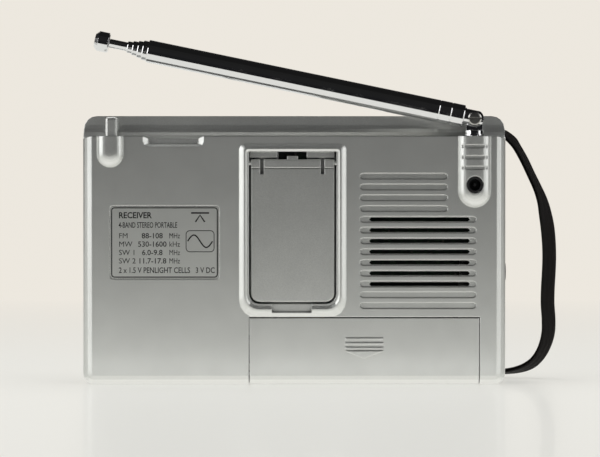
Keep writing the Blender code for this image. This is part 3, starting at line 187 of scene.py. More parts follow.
def silver_paint():
    """Satin metallic paint: fine flake, faint orange peel, rubbed corners, painted shade in
    crevices.

    Edges that turn down get a painted reflection of the pale table, and the hollow inside the case
    is painted dark as shade.
    """
    skin = Skin("silver_paint")
    normal = skin.rounded(0.45 * MM)
    flake = skin.noise(0.16 * MM, 1.0)
    patches = skin.noise(9 * MM, 3.0)
    worn = skin.span(skin.noise(1.4 * MM, 4.0), 0.52, 0.66, 0.0, 1.0)
    rubbed = skin.math("MULTIPLY", skin.edges(normal), worn)
    tone = skin.span(flake, 0.3, 0.7, 0.90, 1.10)
    tone = skin.math("MULTIPLY", tone, skin.span(patches, 0.3, 0.7, 0.97, 1.03))
    colour = skin.node("ShaderNodeVectorMath", {"operation": "SCALE"})
    colour.inputs[0].default_value = SILVER
    skin.tree.links.new(tone, colour.inputs["Scale"])
    painted = skin.mix(rubbed, colour.outputs["Vector"], SILVER_RUBBED)
    # painted reflection: where the rounded normal turns down, the paint is lightened toward the
    # pale table
    tilt = skin.node("ShaderNodeSeparateXYZ", Vector=normal).outputs["Z"]
    painted = skin.mix(skin.span(tilt, -0.15, -0.60, 0.0, 1.0), painted, SILVER_PAINTED_REFLECTION)
    where = skin.node("ShaderNodeSeparateXYZ", Vector=skin.place()).outputs
    # painted shade: narrow crevices found by ambient occlusion are darkened towards black, fading
    # out near the foot
    shade = skin.span(skin.open_air(CREVICE), 0.28, 0.52, 1.0, 0.0)
    shade = skin.math("MULTIPLY", shade, skin.span(where["Z"], *SHADE_FADE_HEIGHTS, 0.0, 1.0))
    # painted shade: the hollow inside the case is painted dark
    inside = 1.0
    for axis, middle, reach in zip("XYZ", HOLLOW_MIDDLE, HOLLOW_REACH):
        inside = skin.math("MULTIPLY", inside, skin.within(where[axis], middle, reach))
    shade = skin.math("MAXIMUM", shade, inside)
    peel = skin.noise(1.1 * MM, 2.0)
    relief = skin.math("ADD", skin.math("MULTIPLY", flake, 0.35), peel)
    skin.set(Base_Color=skin.mix(shade, painted, PAINTED_SHADE), Metallic=0.85,
             Roughness=skin.span(flake, 0.25, 0.75, 0.31, 0.38),
             Normal=skin.bump(relief, 0.25, 0.02 * MM, normal))
    return skin.material


def printed_foil():
    """Thin satin foil of the rating label, faintly brushed along its length."""
    skin = Skin("printed_foil")
    brushed = skin.noise(0.12 * MM, 2.0, where=skin.place((0.08, 1, 1)))
    patches = skin.noise(7 * MM, 2.0)
    colour = skin.mix(patches, (0.65, 0.66, 0.635), (0.71, 0.72, 0.69))
    skin.set(Base_Color=colour, Metallic=0.8, Roughness=skin.span(brushed, 0.3, 0.7, 0.34, 0.40),
             Normal=skin.bump(brushed, 0.12, 0.01 * MM, skin.rounded(0.1 * MM, 4)))
    return skin.material


def chrome():
    """Plated tube: nearly a mirror, with hairline marks and finger smears."""
    skin = Skin("chrome")
    hair = skin.noise(0.1 * MM, 2.0, where=skin.place((0.04, 1, 1)))
    smear = skin.noise(5 * MM, 3.0)
    normal = skin.rounded(0.12 * MM, 4)
    skin.set(Base_Color=skin.mix(smear, (0.80, 0.80, 0.81), (0.88, 0.88, 0.88)), Metallic=1.0,
             Roughness=skin.span(smear, 0.35, 0.75, 0.045, 0.14),
             Normal=skin.bump(hair, 0.06, 0.01 * MM, normal))
    return skin.material


def zinc_steel():
    """Zinc-plated pressings and screws, slightly cloudy."""
    skin = Skin("zinc_steel")
    grain = skin.noise(0.25 * MM, 3.0)
    normal = skin.rounded(0.12 * MM, 4)
    skin.set(Base_Color=skin.mix(grain, (0.50, 0.49, 0.46), (0.66, 0.65, 0.62)), Metallic=1.0,
             Roughness=skin.span(grain, 0.2, 0.8, 0.22, 0.42),
             Normal=skin.bump(grain, 0.15, 0.02 * MM, normal))
    return skin.material


def moulded(name, dark, light, roughness, grain_size=0.3 * MM, painted_glint=0.35, clear=0.0):
    """Moulded plastic with a fine spark-eroded texture, softened edges and a painted highlight on
    them.
    """
    skin = Skin(name)
    grain = skin.noise(grain_size, 3.0)
    clouds = skin.noise(6 * MM, 2.0)
    normal = skin.rounded(0.2 * MM, 4)
    colour = skin.mix(clouds, dark, light)
    # painted highlight: edges are lightened in the base colour
    colour = skin.mix(skin.math("MULTIPLY", skin.edges(normal), painted_glint), colour,
                      [min(1.0, c * 1.6 + 0.03) for c in light])
    skin.set(Base_Color=colour, Transmission_Weight=clear,
             Roughness=skin.span(grain, 0.25, 0.75, roughness - 0.08, roughness + 0.08),
             Normal=skin.bump(grain, 0.3, 0.03 * MM, normal))
    return skin.material


def circuit_board():
    """Green lacquer, darkened nearly to black as painted shade behind the slots, over copper
    tracks, with bare tinned pads.
    """
    skin = Skin("circuit_board")
    cells = skin.node("ShaderNodeTexVoronoi", {"feature": "DISTANCE_TO_EDGE"},
                      Vector=skin.place((1, 0.05, 1)), Scale=1 / (3.2 * MM)).outputs["Distance"]
    track = skin.span(cells, 0.06, 0.09, 1.0, 0.0)
    dots = skin.node("ShaderNodeTexVoronoi", Vector=skin.place((1, 0.05, 1)),
                     Scale=1 / (2.6 * MM)).outputs["Distance"]
    pad = skin.span(dots, 0.14, 0.18, 1.0, 0.0)
    # painted shade: the lacquer is kept nearly black to stand for the dark inside seen through the
    # slots
    lacquer = skin.mix(track, (0.004, 0.012, 0.006), (0.009, 0.026, 0.011))
    relief = skin.math("MAXIMUM", track, pad)
    skin.set(Base_Color=skin.mix(pad, lacquer, (0.10, 0.095, 0.085)), Metallic=pad,
             Roughness=skin.span(skin.noise(0.5 * MM), 0.3, 0.7, 0.28, 0.42),
             Normal=skin.bump(relief, 0.4, 0.05 * MM))
    return skin.material


def cone_paper():
    """Pressed black paper with loose fibres."""
    skin = Skin("cone_paper")
    fibre = skin.noise(0.35 * MM, 5.0, 0.7, skin.place((1, 0.4, 1)))
    skin.set(Base_Color=skin.mix(fibre, (0.018, 0.017, 0.016), (0.07, 0.066, 0.060)),
             Roughness=skin.span(fibre, 0.3, 0.7, 0.75, 0.95),
             Normal=skin.bump(fibre, 0.6, 0.08 * MM))
    return skin.material


def clear_lens():
    """Clear acrylic window with light rubbing marks."""
    skin = Skin("clear_lens")
    rubs = skin.noise(0.15 * MM, 3.0, where=skin.place((0.05, 1, 1)))
    skin.set(Base_Color=(0.97, 0.98, 0.98, 1), Transmission_Weight=1.0, IOR=1.49,
             Roughness=skin.span(rubs, 0.45, 0.75, 0.01, 0.10),
             Normal=skin.bump(rubs, 0.05, 0.01 * MM, skin.rounded(0.25 * MM, 4)))
    return skin.material


def wound(name, dark, light, pitch, metallic, roughness):
    """Something wound or laid in turns along X, such as a coil or a twisted cord."""
    skin = Skin(name)
    turns = skin.wave(pitch, "X", skin.place((1, 0.35, 0.35)))
    fuzz = skin.noise(0.2 * MM, 3.0)
    skin.set(Base_Color=skin.mix(turns, dark, light), Metallic=metallic,
             Roughness=skin.span(fuzz, 0.3, 0.7, roughness - 0.06, roughness + 0.06),
             Normal=skin.bump(skin.math("ADD", turns, skin.math("MULTIPLY", fuzz, 0.3)),
                              0.7, 0.06 * MM))
    return skin.material


def cell_jacket():
    """Printed jacket of a penlight cell: dark body, a copper-coloured band at one end."""
    skin = Skin("cell_jacket")
    parts = skin.node("ShaderNodeSeparateXYZ", Vector=skin.place())
    band = skin.span(parts.outputs["X"], -10 * MM, -9.6 * MM, 0.0, 1.0)
    scuffs = skin.noise(0.6 * MM, 4.0, 0.6, skin.place((0.2, 1, 1)))
    body = skin.mix(scuffs, (0.020, 0.022, 0.026), (0.055, 0.057, 0.060))
    skin.set(Base_Color=skin.mix(band, body, (0.52, 0.30, 0.13)), Metallic=0.55,
             Roughness=skin.span(scuffs, 0.3, 0.7, 0.22, 0.38),
             Normal=skin.bump(scuffs, 0.1, 0.02 * MM))
    return skin.material


def webbing():
    """Dense nylon tape: two families of diagonal yarns with fine fibres."""
    skin = Skin("black_webbing")
    parts = skin.node("ShaderNodeSeparateXYZ", Vector=skin.place(uv=True))
    across, length = parts.outputs["X"], parts.outputs["Y"]
    pitch = 0.80 * MM
    yarns = []
    for kind in ("ADD", "SUBTRACT"):
        lean = skin.math(kind, skin.math("MULTIPLY", across, 1.3), length)
        turn = skin.math("MULTIPLY", lean, 2 * math.pi / pitch)
        yarns.append(skin.span(skin.math("SINE", turn), -1.0, 1.0, 0.0, 1.0))
    weave = skin.math("MAXIMUM", *yarns)
    fibre = skin.noise(0.06 * MM, 3.0, 0.7, skin.place((1, 0.3, 1), uv=True))
    worn = skin.noise(6 * MM, 3.0)
    tone = skin.math("MULTIPLY", weave, skin.span(fibre, 0.3, 0.7, 0.6, 1.2))
    yarn = skin.mix(worn, (0.010, 0.009, 0.009), (0.020, 0.015, 0.014))
    skin.set(Base_Color=skin.mix(tone, (0.0005, 0.0005, 0.0005), yarn), Specular_IOR_Level=0.22,
             Roughness=skin.span(fibre, 0.3, 0.7, 0.45, 0.70),
             Normal=skin.bump(skin.math("ADD", weave, skin.math("MULTIPLY", fibre, 0.4)),
                              1.0, 0.16 * MM))
    return skin.material


def ink(name, colour):
    """Screen-printed ink, a little uneven."""
    skin = Skin(name)
    speckle = skin.noise(0.12 * MM, 3.0)
    lighter = [min(1.0, c * 1.35 + 0.01) for c in colour]
    skin.set(Base_Color=skin.mix(speckle, colour, lighter), Specular_IOR_Level=0.15,
             Roughness=skin.span(speckle, 0.3, 0.7, 0.45, 0.6))
    return skin.material


def grille_cloth():
    """Open-weave cloth behind the speaker slots."""
    skin = Skin("grille_cloth")
    weft = skin.wave(0.5 * MM, "X")
    warp = skin.wave(0.5 * MM, "Z")
    weave = skin.math("MULTIPLY", weft, warp)
    skin.set(Base_Color=skin.mix(weave, (0.006, 0.006, 0.007), (0.045, 0.044, 0.042)),
             Roughness=skin.span(skin.noise(0.2 * MM), 0.3, 0.7, 0.75, 0.9),
             Normal=skin.bump(weave, 0.9, 0.15 * MM))
    return skin.material


MAKERS = {
    "silver_paint": silver_paint,
    "printed_foil": printed_foil,
    "chrome": chrome,
    "zinc_steel": zinc_steel,
    "circuit_board": circuit_board,
    "cone_paper": cone_paper,
    "clear_lens": clear_lens,
    "cell_jacket": cell_jacket,
    "black_webbing": webbing,
    "cord": lambda: wound("cord", (0.30, 0.26, 0.19), (0.58, 0.53, 0.43), 0.5 * MM, 0.0, 0.8),
    "copper": lambda: wound("copper", (0.30, 0.10, 0.04), (0.75, 0.34, 0.17), 0.35 * MM, 0.9, 0.35),
}
PLASTICS = {  # slot: darker tone, lighter tone, roughness, grain, painted highlight on edges, transmission
    "black_plastic": ((0.006, 0.006, 0.007), (0.012, 0.012, 0.013), 0.40, 0.3 * MM, 0.25, 0.0),
    "ferrite": ((0.022, 0.022, 0.024), (0.045, 0.044, 0.044), 0.62, 0.5 * MM, 0.3, 0.0),
    "dial_print": ((0.012, 0.014, 0.017), (0.020, 0.023, 0.027), 0.45, 0.2 * MM, 0.2, 0.0),
    "pointer_red": ((0.55, 0.025, 0.018), (0.72, 0.045, 0.030), 0.35, 0.3 * MM, 0.2, 0.0),
    "white_plastic": ((0.60, 0.59, 0.55), (0.72, 0.71, 0.67), 0.38, 0.4 * MM, 0.2, 0.0),
    "cream_plastic": ((0.50, 0.44, 0.31), (0.62, 0.56, 0.42), 0.42, 0.4 * MM, 0.2, 0.0),
    "phenolic": ((0.13, 0.055, 0.022), (0.20, 0.090, 0.038), 0.50, 0.35 * MM, 0.3, 0.0),
    "lamp_red": ((0.50, 0.015, 0.010), (0.66, 0.030, 0.020), 0.16, 0.5 * MM, 0.1, 0.4),
    "lamp_green": ((0.030, 0.34, 0.035), (0.055, 0.46, 0.060), 0.16, 0.5 * MM, 0.1, 0.4),
    "sleeve_blue": ((0.016, 0.040, 0.16), (0.026, 0.062, 0.23), 0.30, 0.6 * MM, 0.2, 0.0),
}


def dress():
    """Gives every CAD node its material, by the record's slot."""
    slots = {row["node"]: row["material_slot"] for row in frame["record"]["subparts"]}
    made = {slot: maker() for slot, maker in MAKERS.items()}
    made.update({slot: moulded(slot, *looks) for slot, looks in PLASTICS.items()})
    for name, node in NODES.items():
        node.data.materials.clear()
        node.data.materials.append(made[slots[name]])
    return made


# ---------------------------------------------------------------- printing

# The way a drawing's right, up and towards the reader point on either side of the case.
FACING = {
    "back": Matrix(((-1, 0, 0), (0, 0, 1), (0, 1, 0))).to_4x4(),
    "front": Matrix(((1, 0, 0), (0, 0, -1), (0, 1, 0))).to_4x4(),
}
CAP_SHARE = 0.70  # height of a capital as a share of the font's size


class Print:
    """Flat printed matter on one face; places are (right, up) in millimetres from a corner."""

    def __init__(self, name, facing, corner):
        self.name = name
        self.frame = Matrix.Translation(corner) @ FACING[facing]
        self.bm = bmesh.new()

    def words(self, text, at, height, width=None, align="LEFT", bold=0.0):
        """A line of lettering with this cap height, squeezed to this width if it is given."""
        curve = bpy.data.curves.new(self.name, "FONT")
        curve.body = text
        curve.size = height * MM / CAP_SHARE
        curve.align_x = align
        curve.offset = bold * MM
        curve.resolution_u = 3
        drawn = bpy.data.objects.new(self.name, curve)
        bpy.context.scene.collection.objects.link(drawn)
        graph = bpy.context.evaluated_depsgraph_get()
        mesh = bpy.data.meshes.new_from_object(drawn.evaluated_get(graph))
        squeeze = width * MM / drawn.evaluated_get(graph).dimensions.x if width else 1.0
        where = Matrix.Translation((at[0] * MM, (at[1] - height / 2) * MM, 0))
        mesh.transform(self.frame @ where @ Matrix.Diagonal((squeeze, 1, 1, 1)))
        self.bm.from_mesh(mesh)
        bpy.data.objects.remove(drawn)
        bpy.data.meshes.remove(mesh)

    def stroke(self, points, thick, closed=False):
        """A line of even thickness through the points."""
        count = len(points)
        flat = [Vector(p) for p in points]
        rings = []
        for i, point in enumerate(flat):
            before = flat[i - 1] if i or closed else point
            after = flat[(i + 1) % count] if i + 1 < count or closed else point
            along = (after - before).normalized()
            side = Vector((-along.y, along.x)) * thick / 2
            rings.append([self.vertex(point + side), self.vertex(point - side)])
        pairs = zip(rings, rings[1:] + rings[:1] if closed else rings[1:])
        for (a, b), (c, d) in pairs:
            self.bm.faces.new((a, b, d, c))

    def vertex(self, flat):
        """A vertex at a place on the sheet."""
        return self.bm.verts.new(self.frame @ Vector((flat.x * MM, flat.y * MM, 0)))

    def outline(self, left, bottom, right, top, radius, thick):
        """A rounded frame line."""
        points = []
        corners = ((right, top, 0), (left, top, 90), (left, bottom, 180), (right, bottom, 270))
        for x, y, start in corners:
            inward = Vector((-1 if x == right else 1, -1 if y == top else 1)) * radius
            for step in range(7):
                turn = math.radians(start + 15 * step)
                points.append(Vector((x, y)) + inward
                              + radius * Vector((math.cos(turn), math.sin(turn))))
        self.stroke(points, thick, closed=True)

    def lay(self, material, body):
        """Makes the print a piece on the body."""
        mesh = bpy.data.meshes.new(self.name)
        self.bm.to_mesh(mesh)
        self.bm.free()
        mesh.materials.append(material)
        piece = bpy.data.objects.new(self.name, mesh)
        bpy.context.scene.collection.objects.link(piece)
        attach(piece, body)


def label_print(dark_ink):
    """The rating label: a frame, a heading, four rows of bands and two plain symbols."""
    low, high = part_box("rating_label")
    sheet = Print("label_print", "back", (high[0], high[1] + FILM, low[2]))
    width, height = (high[0] - low[0]) / MM, (high[2] - low[2]) / MM
    margin, left, right = 0.45, 2.7, width - 1.4
    small, bold = 1.7, 0.025
    sheet.outline(margin, margin, width - margin, height - margin, 0.9, 0.36)
    sheet.words("RECEIVER", (left, height - 2.8), 1.9, 10.4, bold=0.06)
    sheet.words("4-BAND STEREO PORTABLE", (left, height - 5.95), 1.8, 18.8, bold=bold)
    rows = (("FM", "88-108", "MHz"), ("MW", "530-1600", "kHz"),
            ("SW 1", "6.0-9.8", "MHz"), ("SW 2", "11.7-17.8", "MHz"))
    for row, (band, reach, unit) in enumerate(rows):
        level = height - 9.4 - 2.7 * row
        sheet.words(band, (left, level), small)
        sheet.words(reach, (13.5, level), small, align="CENTER", bold=bold)
        sheet.words(unit, (18.9, level), small, 3.4)
    cells = "2 x 1.5 V PENLIGHT CELLS   3 V DC"
    sheet.words(cells, (left, height - 20.5), 1.8, right - left, bold=bold)
    aerial_symbol(sheet, 28.9, height - 3.4)
    wave_symbol(sheet, 28.9, height - 11.2)
    sheet.lay(dark_ink, "case")


def aerial_symbol(sheet, mast, middle):
    """A bar over a chevron."""
    foot = middle - 1.6
    sheet.stroke([(mast - 1.5, foot), (mast, middle + 0.6), (mast + 1.5, foot)], 0.5)
    sheet.stroke([(mast - 2.9, middle + 1.3), (mast + 2.9, middle + 1.3)], 0.5)


def wave_symbol(sheet, centre, middle):
    """One turn of a sine in a rounded frame."""
    steps, half_length, swing = 20, 4.0, 2.0
    wave = []
    for i in range(steps + 1):
        share = i / steps
        rise = swing * math.sin(2 * math.pi * share)
        wave.append((centre + half_length * (2 * share - 1), middle + rise))
    sheet.stroke(wave, 0.42)
    sheet.outline(centre - 4.5, middle - 3.4, centre + 4.5, middle + 3.4, 1.2, 0.24)


def dial_print(pale_ink):
    """Four tuning scales across the dial plate."""
    low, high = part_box("dial_plate")
    sheet = Print("dial_scale", "front", (low[0], low[1] - FILM, low[2]))
    start, end = 11.0, 57.5
    minor = 5  # ticks from one number to the next
    scales = (("FM", "88 92 96 100 104 108", "MHz"), ("MW", "53 60 80 100 130 160", "x10kHz"),
              ("SW1", "6.0 7.0 8.0 9.0 9.8", "MHz"), ("SW2", "11.7 13 15 16 17.8", "MHz"))
    for row, (band, marks, unit) in enumerate(scales):
        level = 21.6 - 5.4 * row
        sheet.words(band, (3.0, level), 1.7, bold=0.04)
        sheet.words(unit, (3.0, level - 2.3), 1.0)
        marks = marks.split()
        pitch = (end - start) / (len(marks) - 1)
        for i, mark in enumerate(marks):
            sheet.words(mark, (start + pitch * i, level), 1.5, align="CENTER")
        line = level - 1.5
        ticks = minor * (len(marks) - 1)
        for i in range(ticks + 1):
            x = start + (end - start) * i / ticks
            tall = 0.5 if i % minor else 0.9
            sheet.stroke([(x, line), (x, line - tall)], 0.12)
        sheet.stroke([(start, line), (end, line)], 0.12)
    sheet.lay(pale_ink, "case")


def front_print(dark_ink):
    """Plain captions beside the controls on the front."""
    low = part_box("front_shell")[0]
    sheet = Print("front_captions", "front", (0, low[1] - FILM, 0))
    sheet.words("STEREO WORLD BAND RECEIVER", (2.6, 79.2), 1.7)
    for text, x, z, size in (
        ("TUNE", 13.0, 46.6, 1.2), ("STEREO", 19.4, 46.6, 1.2), ("OFF   ON", 28.0, 45.6, 1.3),
        ("TUNING", 40.0, 33.6, 1.3), ("FM", 14.5, 25.4, 1.3), ("MW", 17.5, 25.4, 1.3),
        ("SW1", 20.6, 25.4, 1.3), ("SW2", 24.3, 25.4, 1.3), ("VOLUME", -53.5, 55.2, 1.2),
    ):
        sheet.words(text, (x, z), size, align="CENTER")
    sheet.outline(0.9, 51.2, 63.1, 77.3, 1.4, 0.25)
    sheet.lay(dark_ink, "case")


# ---------------------------------------------------------------- cloth and strap

def disc_cloth():
    """The cloth stretched behind the speaker slots."""
    low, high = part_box("speaker_frame")
    clearance, margin, ripple_height = 0.12 * MM, 0.4 * MM, 0.03 * MM
    centre = Vector(((low[0] + high[0]) / 2, low[1] - clearance, (low[2] + high[2]) / 2))
    radius = (high[0] - low[0]) / 2 - margin
    bm = bmesh.new()
    bmesh.ops.create_grid(bm, x_segments=40, y_segments=40, size=radius)
    for vertex in bm.verts:
        x, z = vertex.co.x, vertex.co.y
        reach = max(abs(x), abs(z))
        spread = reach / math.hypot(x, z) if reach else 1.0
        ripple = ripple_height * math.sin(x / (1.7 * MM)) * math.sin(z / (2.3 * MM))
        vertex.co = centre + Vector((x * spread, ripple, z * spread))
    mesh = bpy.data.meshes.new("grille_cloth")
    bm.to_mesh(mesh)
    bm.free()
    mesh.shade_smooth()
    mesh.materials.append(grille_cloth())
    piece = bpy.data.objects.new("grille_cloth", mesh)
    bpy.context.scene.collection.objects.link(piece)
    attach(piece, "case")


STRAP_BAR = Vector((-66.0, -5.4, 80.4)) * MM
STRAP_PATH = (  # (x, y, z, turn of the tape in degrees)
    (-67.4, -5.4, 80.7, 12), (-69.2, -5.4, 80.4, 26), (-71.4, -5.5, 78.6, 32),
    (-73.0, -5.6, 76.3, 27), (-75.3, -5.8, 72.2, 28), (-77.6, -6.1, 67.4, 28),
    (-79.7, -6.5, 63.0, 32), (-81.3, -6.9, 58.8, 45), (-82.3, -7.4, 54.5, 62),
    (-83.1, -8.1, 50.0, 78), (-83.6, -8.9, 45.0, 88), (-83.8, -9.8, 40.0, 90),
    (-83.7, -10.7, 35.0, 90), (-83.5, -11.6, 30.0, 90), (-83.5, -12.5, 25.0, 88),
    (-83.9, -13.4, 20.0, 82), (-83.9, -14.4, 15.5, 72), (-83.0, -15.4, 11.4, 60),
    (-81.2, -16.3, 7.6, 50), (-78.6, -17.0, 4.8, 40), (-75.0, -17.6, 3.1, 26),
    (-70.0, -18.1, 2.2, 12), (-60.0, -18.8, 1.5, 0), (-50.0, -19.6, 1.4, 0),
    (-40.6, -20.5, 1.4, 0),
)
TAPE_HALF = 2.25 * MM
TAPE_THICK = 0.74 * MM
LAYER_REACH = 0.56 * TAPE_THICK  # from the path to the middle of either layer of the tape
BAR_REACH = 1.46 * MM            # the same where the tape goes round the bar
EASE_LENGTH = 4.2 * MM           # over which the layers close up from the bar
STEPS_PER_SPAN = 8


def smooth_path(points):
    """A Catmull-Rom curve through the points, each a (x, y, z, turn) vector."""
    ends = [2 * points[0] - points[1], *points, 2 * points[-1] - points[-2]]
    path = []
    for a, b, c, d in zip(ends, ends[1:], ends[2:], ends[3:]):
        for step in range(STEPS_PER_SPAN):
            t = step / STEPS_PER_SPAN
            path.append(0.5 * (2 * b + (c - a) * t + (2 * a - 5 * b + 4 * c - d) * t ** 2
                               + (3 * b - a - 3 * c + d) * t ** 3))
    return [*path, points[-1]]


def tape_section():
    """Outline of the tape: (across, height) with three low ribs on either face."""
    top = []
    half_steps = 10
    for i in range(2 * half_steps + 1):
        u = -1 + i / half_steps
        edge = (1 - abs(u) ** 6) ** 0.5
        rib = 0.72 + 0.28 * math.cos(1.5 * math.pi * u) ** 2
        top.append((u * TAPE_HALF, edge * rib * TAPE_THICK / 2))
    return top + [(u, -h) for u, h in reversed(top[1:-1])]


def strap_stations():
    """(place, along, across, normal) round the closed band: out, fold, back, round the bar."""
    first = Vector((*(STRAP_BAR / MM), 0.0))
    path = smooth_path([first] + [Vector(p) for p in STRAP_PATH])
    places = [p.xyz * MM for p in path]
    frames = []
    for i, place in enumerate(places):
        along = (places[min(i + 1, len(places) - 1)] - places[max(i - 1, 0)]).normalized()
        flat = Vector((0, 1, 0)) - along * along.y
        across = Matrix.Rotation(math.radians(path[i][3]), 3, along) @ flat.normalized()
        frames.append((place, along, across, along.cross(across)))
    offsets = []
    travelled = 0.0
    for i, place in enumerate(places):
        travelled += (place - places[i - 1]).length if i else 0.0
        near = max(0.0, 1 - travelled / EASE_LENGTH)
        ease = near * near * (3 - 2 * near)
        offsets.append(LAYER_REACH + (BAR_REACH - LAYER_REACH) * ease)
    stations = [(p + n * o, a, w, n) for (p, a, w, n), o in zip(frames, offsets)]
    stations += fold(*frames[-1], offsets[-1])
    stations += [(p - n * o, -a, w, -n) for (p, a, w, n), o in zip(frames[::-1], offsets[::-1])]
    place, along, across, normal = frames[0]
    return stations + fold(place, -along, across, -normal, offsets[0])


def fold(place, along, across, normal, reach):
    """Stations half way round a turn of the tape, between its two layers."""
    found = []
    steps = 8
    for step in range(1, steps):
        turn = math.pi * step / steps
        out = normal * math.cos(turn) + along * math.sin(turn)
        on = along * math.cos(turn) - normal * math.sin(turn)
        found.append((place + out * reach, on, across, out))
    return found


def woven_strap(material):
    """The doubled tape of the wrist strap, one closed band round its bar."""
    section = tape_section()
    stations = strap_stations()
    bm = bmesh.new()
    rings = []
    for place, _, across, normal in stations:
        rings.append([bm.verts.new(place + across * u + normal * h) for u, h in section])
    uv = bm.loops.layers.uv.new("tape")
    length = 0.0
    for k, ring in enumerate(rings):
        after = rings[(k + 1) % len(rings)]
        step = (stations[(k + 1) % len(stations)][0] - stations[k][0]).length
        for i in range(len(section)):
            j = (i + 1) % len(section)
            face = bm.faces.new((ring[i], ring[j], after[j], after[i]))
            spots = ((i, length), (j, length), (j, length + step), (i, length + step))
            for loop, (corner, run) in zip(face.loops, spots):
                loop[uv].uv = (section[corner][0], run)
        length += step
    bmesh.ops.recalc_face_normals(bm, faces=bm.faces)
    mesh = bpy.data.meshes.new("woven_strap")
    bm.to_mesh(mesh)
    bm.free()
    mesh.shade_smooth()
    mesh.materials.append(material)
    piece = bpy.data.objects.new("woven_strap", mesh)
    bpy.context.scene.collection.objects.link(piece)
    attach(piece, "wrist_strap")
    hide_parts("wrist_strap")


# ---------------------------------------------------------------- studio

def world_light(tree, low, high, axis, coord):
    """0 to 1 as the direction's axis runs from low to high."""
    parts = tree.nodes.new("ShaderNodeSeparateXYZ")
    tree.links.new(coord, parts.inputs[0])
    ramp = tree.nodes.new("ShaderNodeMapRange")
    ramp.inputs["From Min"].default_value = low
    ramp.inputs["From Max"].default_value = high
    tree.links.new(parts.outputs[axis], ramp.inputs["Value"])
    return ramp.outputs["Result"]


def world_mix(tree, factor, a, b):
    """Mixes two colours, each a node's output or a plain colour."""
    made = tree.nodes.new("ShaderNodeMix")
    made.data_type = "RGBA"
    tree.links.new(factor, made.inputs[0])
    for socket, value in ((made.inputs[6], a), (made.inputs[7], b)):
        if isinstance(value, bpy.types.NodeSocket):
            tree.links.new(value, socket)
        else:
            socket.default_value = (*value, 1)
    return made.outputs[2]


ROOM_LOW = (0.012, 0.012, 0.013)
ROOM_HIGH = (0.020, 0.020, 0.020)
CEILING = (0.010, 0.010, 0.010)
# Where the room changes, as the Y or Z part of a direction, from and to.
BACKDROP_EDGE = (-0.74, -0.84)
BACKDROP_TOP = (0.46, 0.36)
ROOM_RISE = (0.0, 0.60)
CEILING_RISE = (0.62, 0.80)
BACKDROP_GLOW = 0.9   # of the backdrop's colour, as the object sees it


def studio():
    """Cream backdrop straight behind; a dim room in front, lighter with height up to a ceiling."""
    world = bpy.data.worlds.new("studio")
    bpy.context.scene.world = world
    world.use_nodes = True
    tree = world.node_tree
    tree.nodes.clear()
    output = tree.nodes.new("ShaderNodeOutputWorld")
    coord = tree.nodes.new("ShaderNodeTexCoord").outputs["Generated"]
    behind = world_light(tree, *BACKDROP_EDGE, "Y", coord)
    below = world_light(tree, *BACKDROP_TOP, "Z", coord)
    both = tree.nodes.new("ShaderNodeMath")
    both.operation = "MULTIPLY"
    tree.links.new(behind, both.inputs[0])
    tree.links.new(below, both.inputs[1])
    front = world_mix(tree, world_light(tree, *ROOM_RISE, "Z", coord), ROOM_LOW, ROOM_HIGH)
    front = world_mix(tree, world_light(tree, *CEILING_RISE, "Z", coord), front, CEILING)
    room = world_mix(tree, both.outputs[0], front, [BACKDROP_GLOW * c for c in BACKDROP])
    seen = tree.nodes.new("ShaderNodeLightPath").outputs["Is Camera Ray"]
    back = tree.nodes.new("ShaderNodeBackground")
    tree.links.new(world_mix(tree, seen, room, BACKDROP), back.inputs["Color"])
    tree.links.new(back.outputs[0], output.inputs["Surface"])


def area_light(name, place, aim, size, power, glossy, group):
    """A soft rectangular lamp, unseen by the camera; it lights the group, or all if None."""
    data = bpy.data.lights.new(name, "AREA")
    data.shape = "RECTANGLE"
    data.size, data.size_y = size
    data.energy = power
    lamp = bpy.data.objects.new(name, data)
    lamp.location = place
    lamp.rotation_euler = (Vector(aim) - Vector(place)).to_track_quat("-Z", "Y").to_euler()
    lamp.visible_camera = False
    lamp.visible_glossy = glossy
    if group:
        lamp.light_linking.receiver_collection = group
    bpy.context.scene.collection.objects.link(lamp)


LIGHTS = (  # name, place, what it faces, size, power, seen in reflections, what it lights
    ("left_softbox", (0.70, 0.30, 0.28), (0, 0, 0.05), (0.6, 0.7), 2.6, True, "all"),
    ("right_softbox", (-0.70, 0.32, 0.25), (0, 0, 0.05), (0.5, 0.6), 1.45, True, "all"),
    ("near_card", (0, 0.042, 0.0025), (0, 0, 0.003), (0.30, 0.004), 0.0030, True, "case"),
    ("apron_card", (0, 0.075, 0.0010), (0, 0.055, 0.05), (0.34, 0.08), 0.013, True, "case"),
    ("face_light", (0, 1.3, 0.10), (0, 0, 0.05), (1.2, 0.6), 0.26, True, "case"),
    ("rim_light", (0, -0.6, 0.6), (0, 0, 0.05), (1.0, 0.6), 2.4, True, "case"),
    ("table_light", (0, 0.04, 0.9), (0, 0.04, 0), (0.8, 0.8), 8.0, False, "all"),
)
CASE_SLOTS = ("silver_paint", "printed_foil", "black_plastic")


def case_only():
    """The pieces that the cards, the face light and the rim light fall on."""
    group = bpy.data.collections.new("lit_by_cards")
    for row in frame["record"]["subparts"]:
        if row["material_slot"] in CASE_SLOTS:
            group.objects.link(NODES[row["node"]])
    return group


TABLE_FRONT = 0.29
TABLE_BACK = -1.0
TABLE_SIDE = 0.9
FADE_BACK = (-0.10, -0.55)   # the table fades into the backdrop along Y from and to here
FADE_SIDE = (0.35, 0.85)     # and to either side
POLISH_SHARE = 0.10
SOFT_SHARE = 0.45            # of the table's look that is a glow and takes no shadow


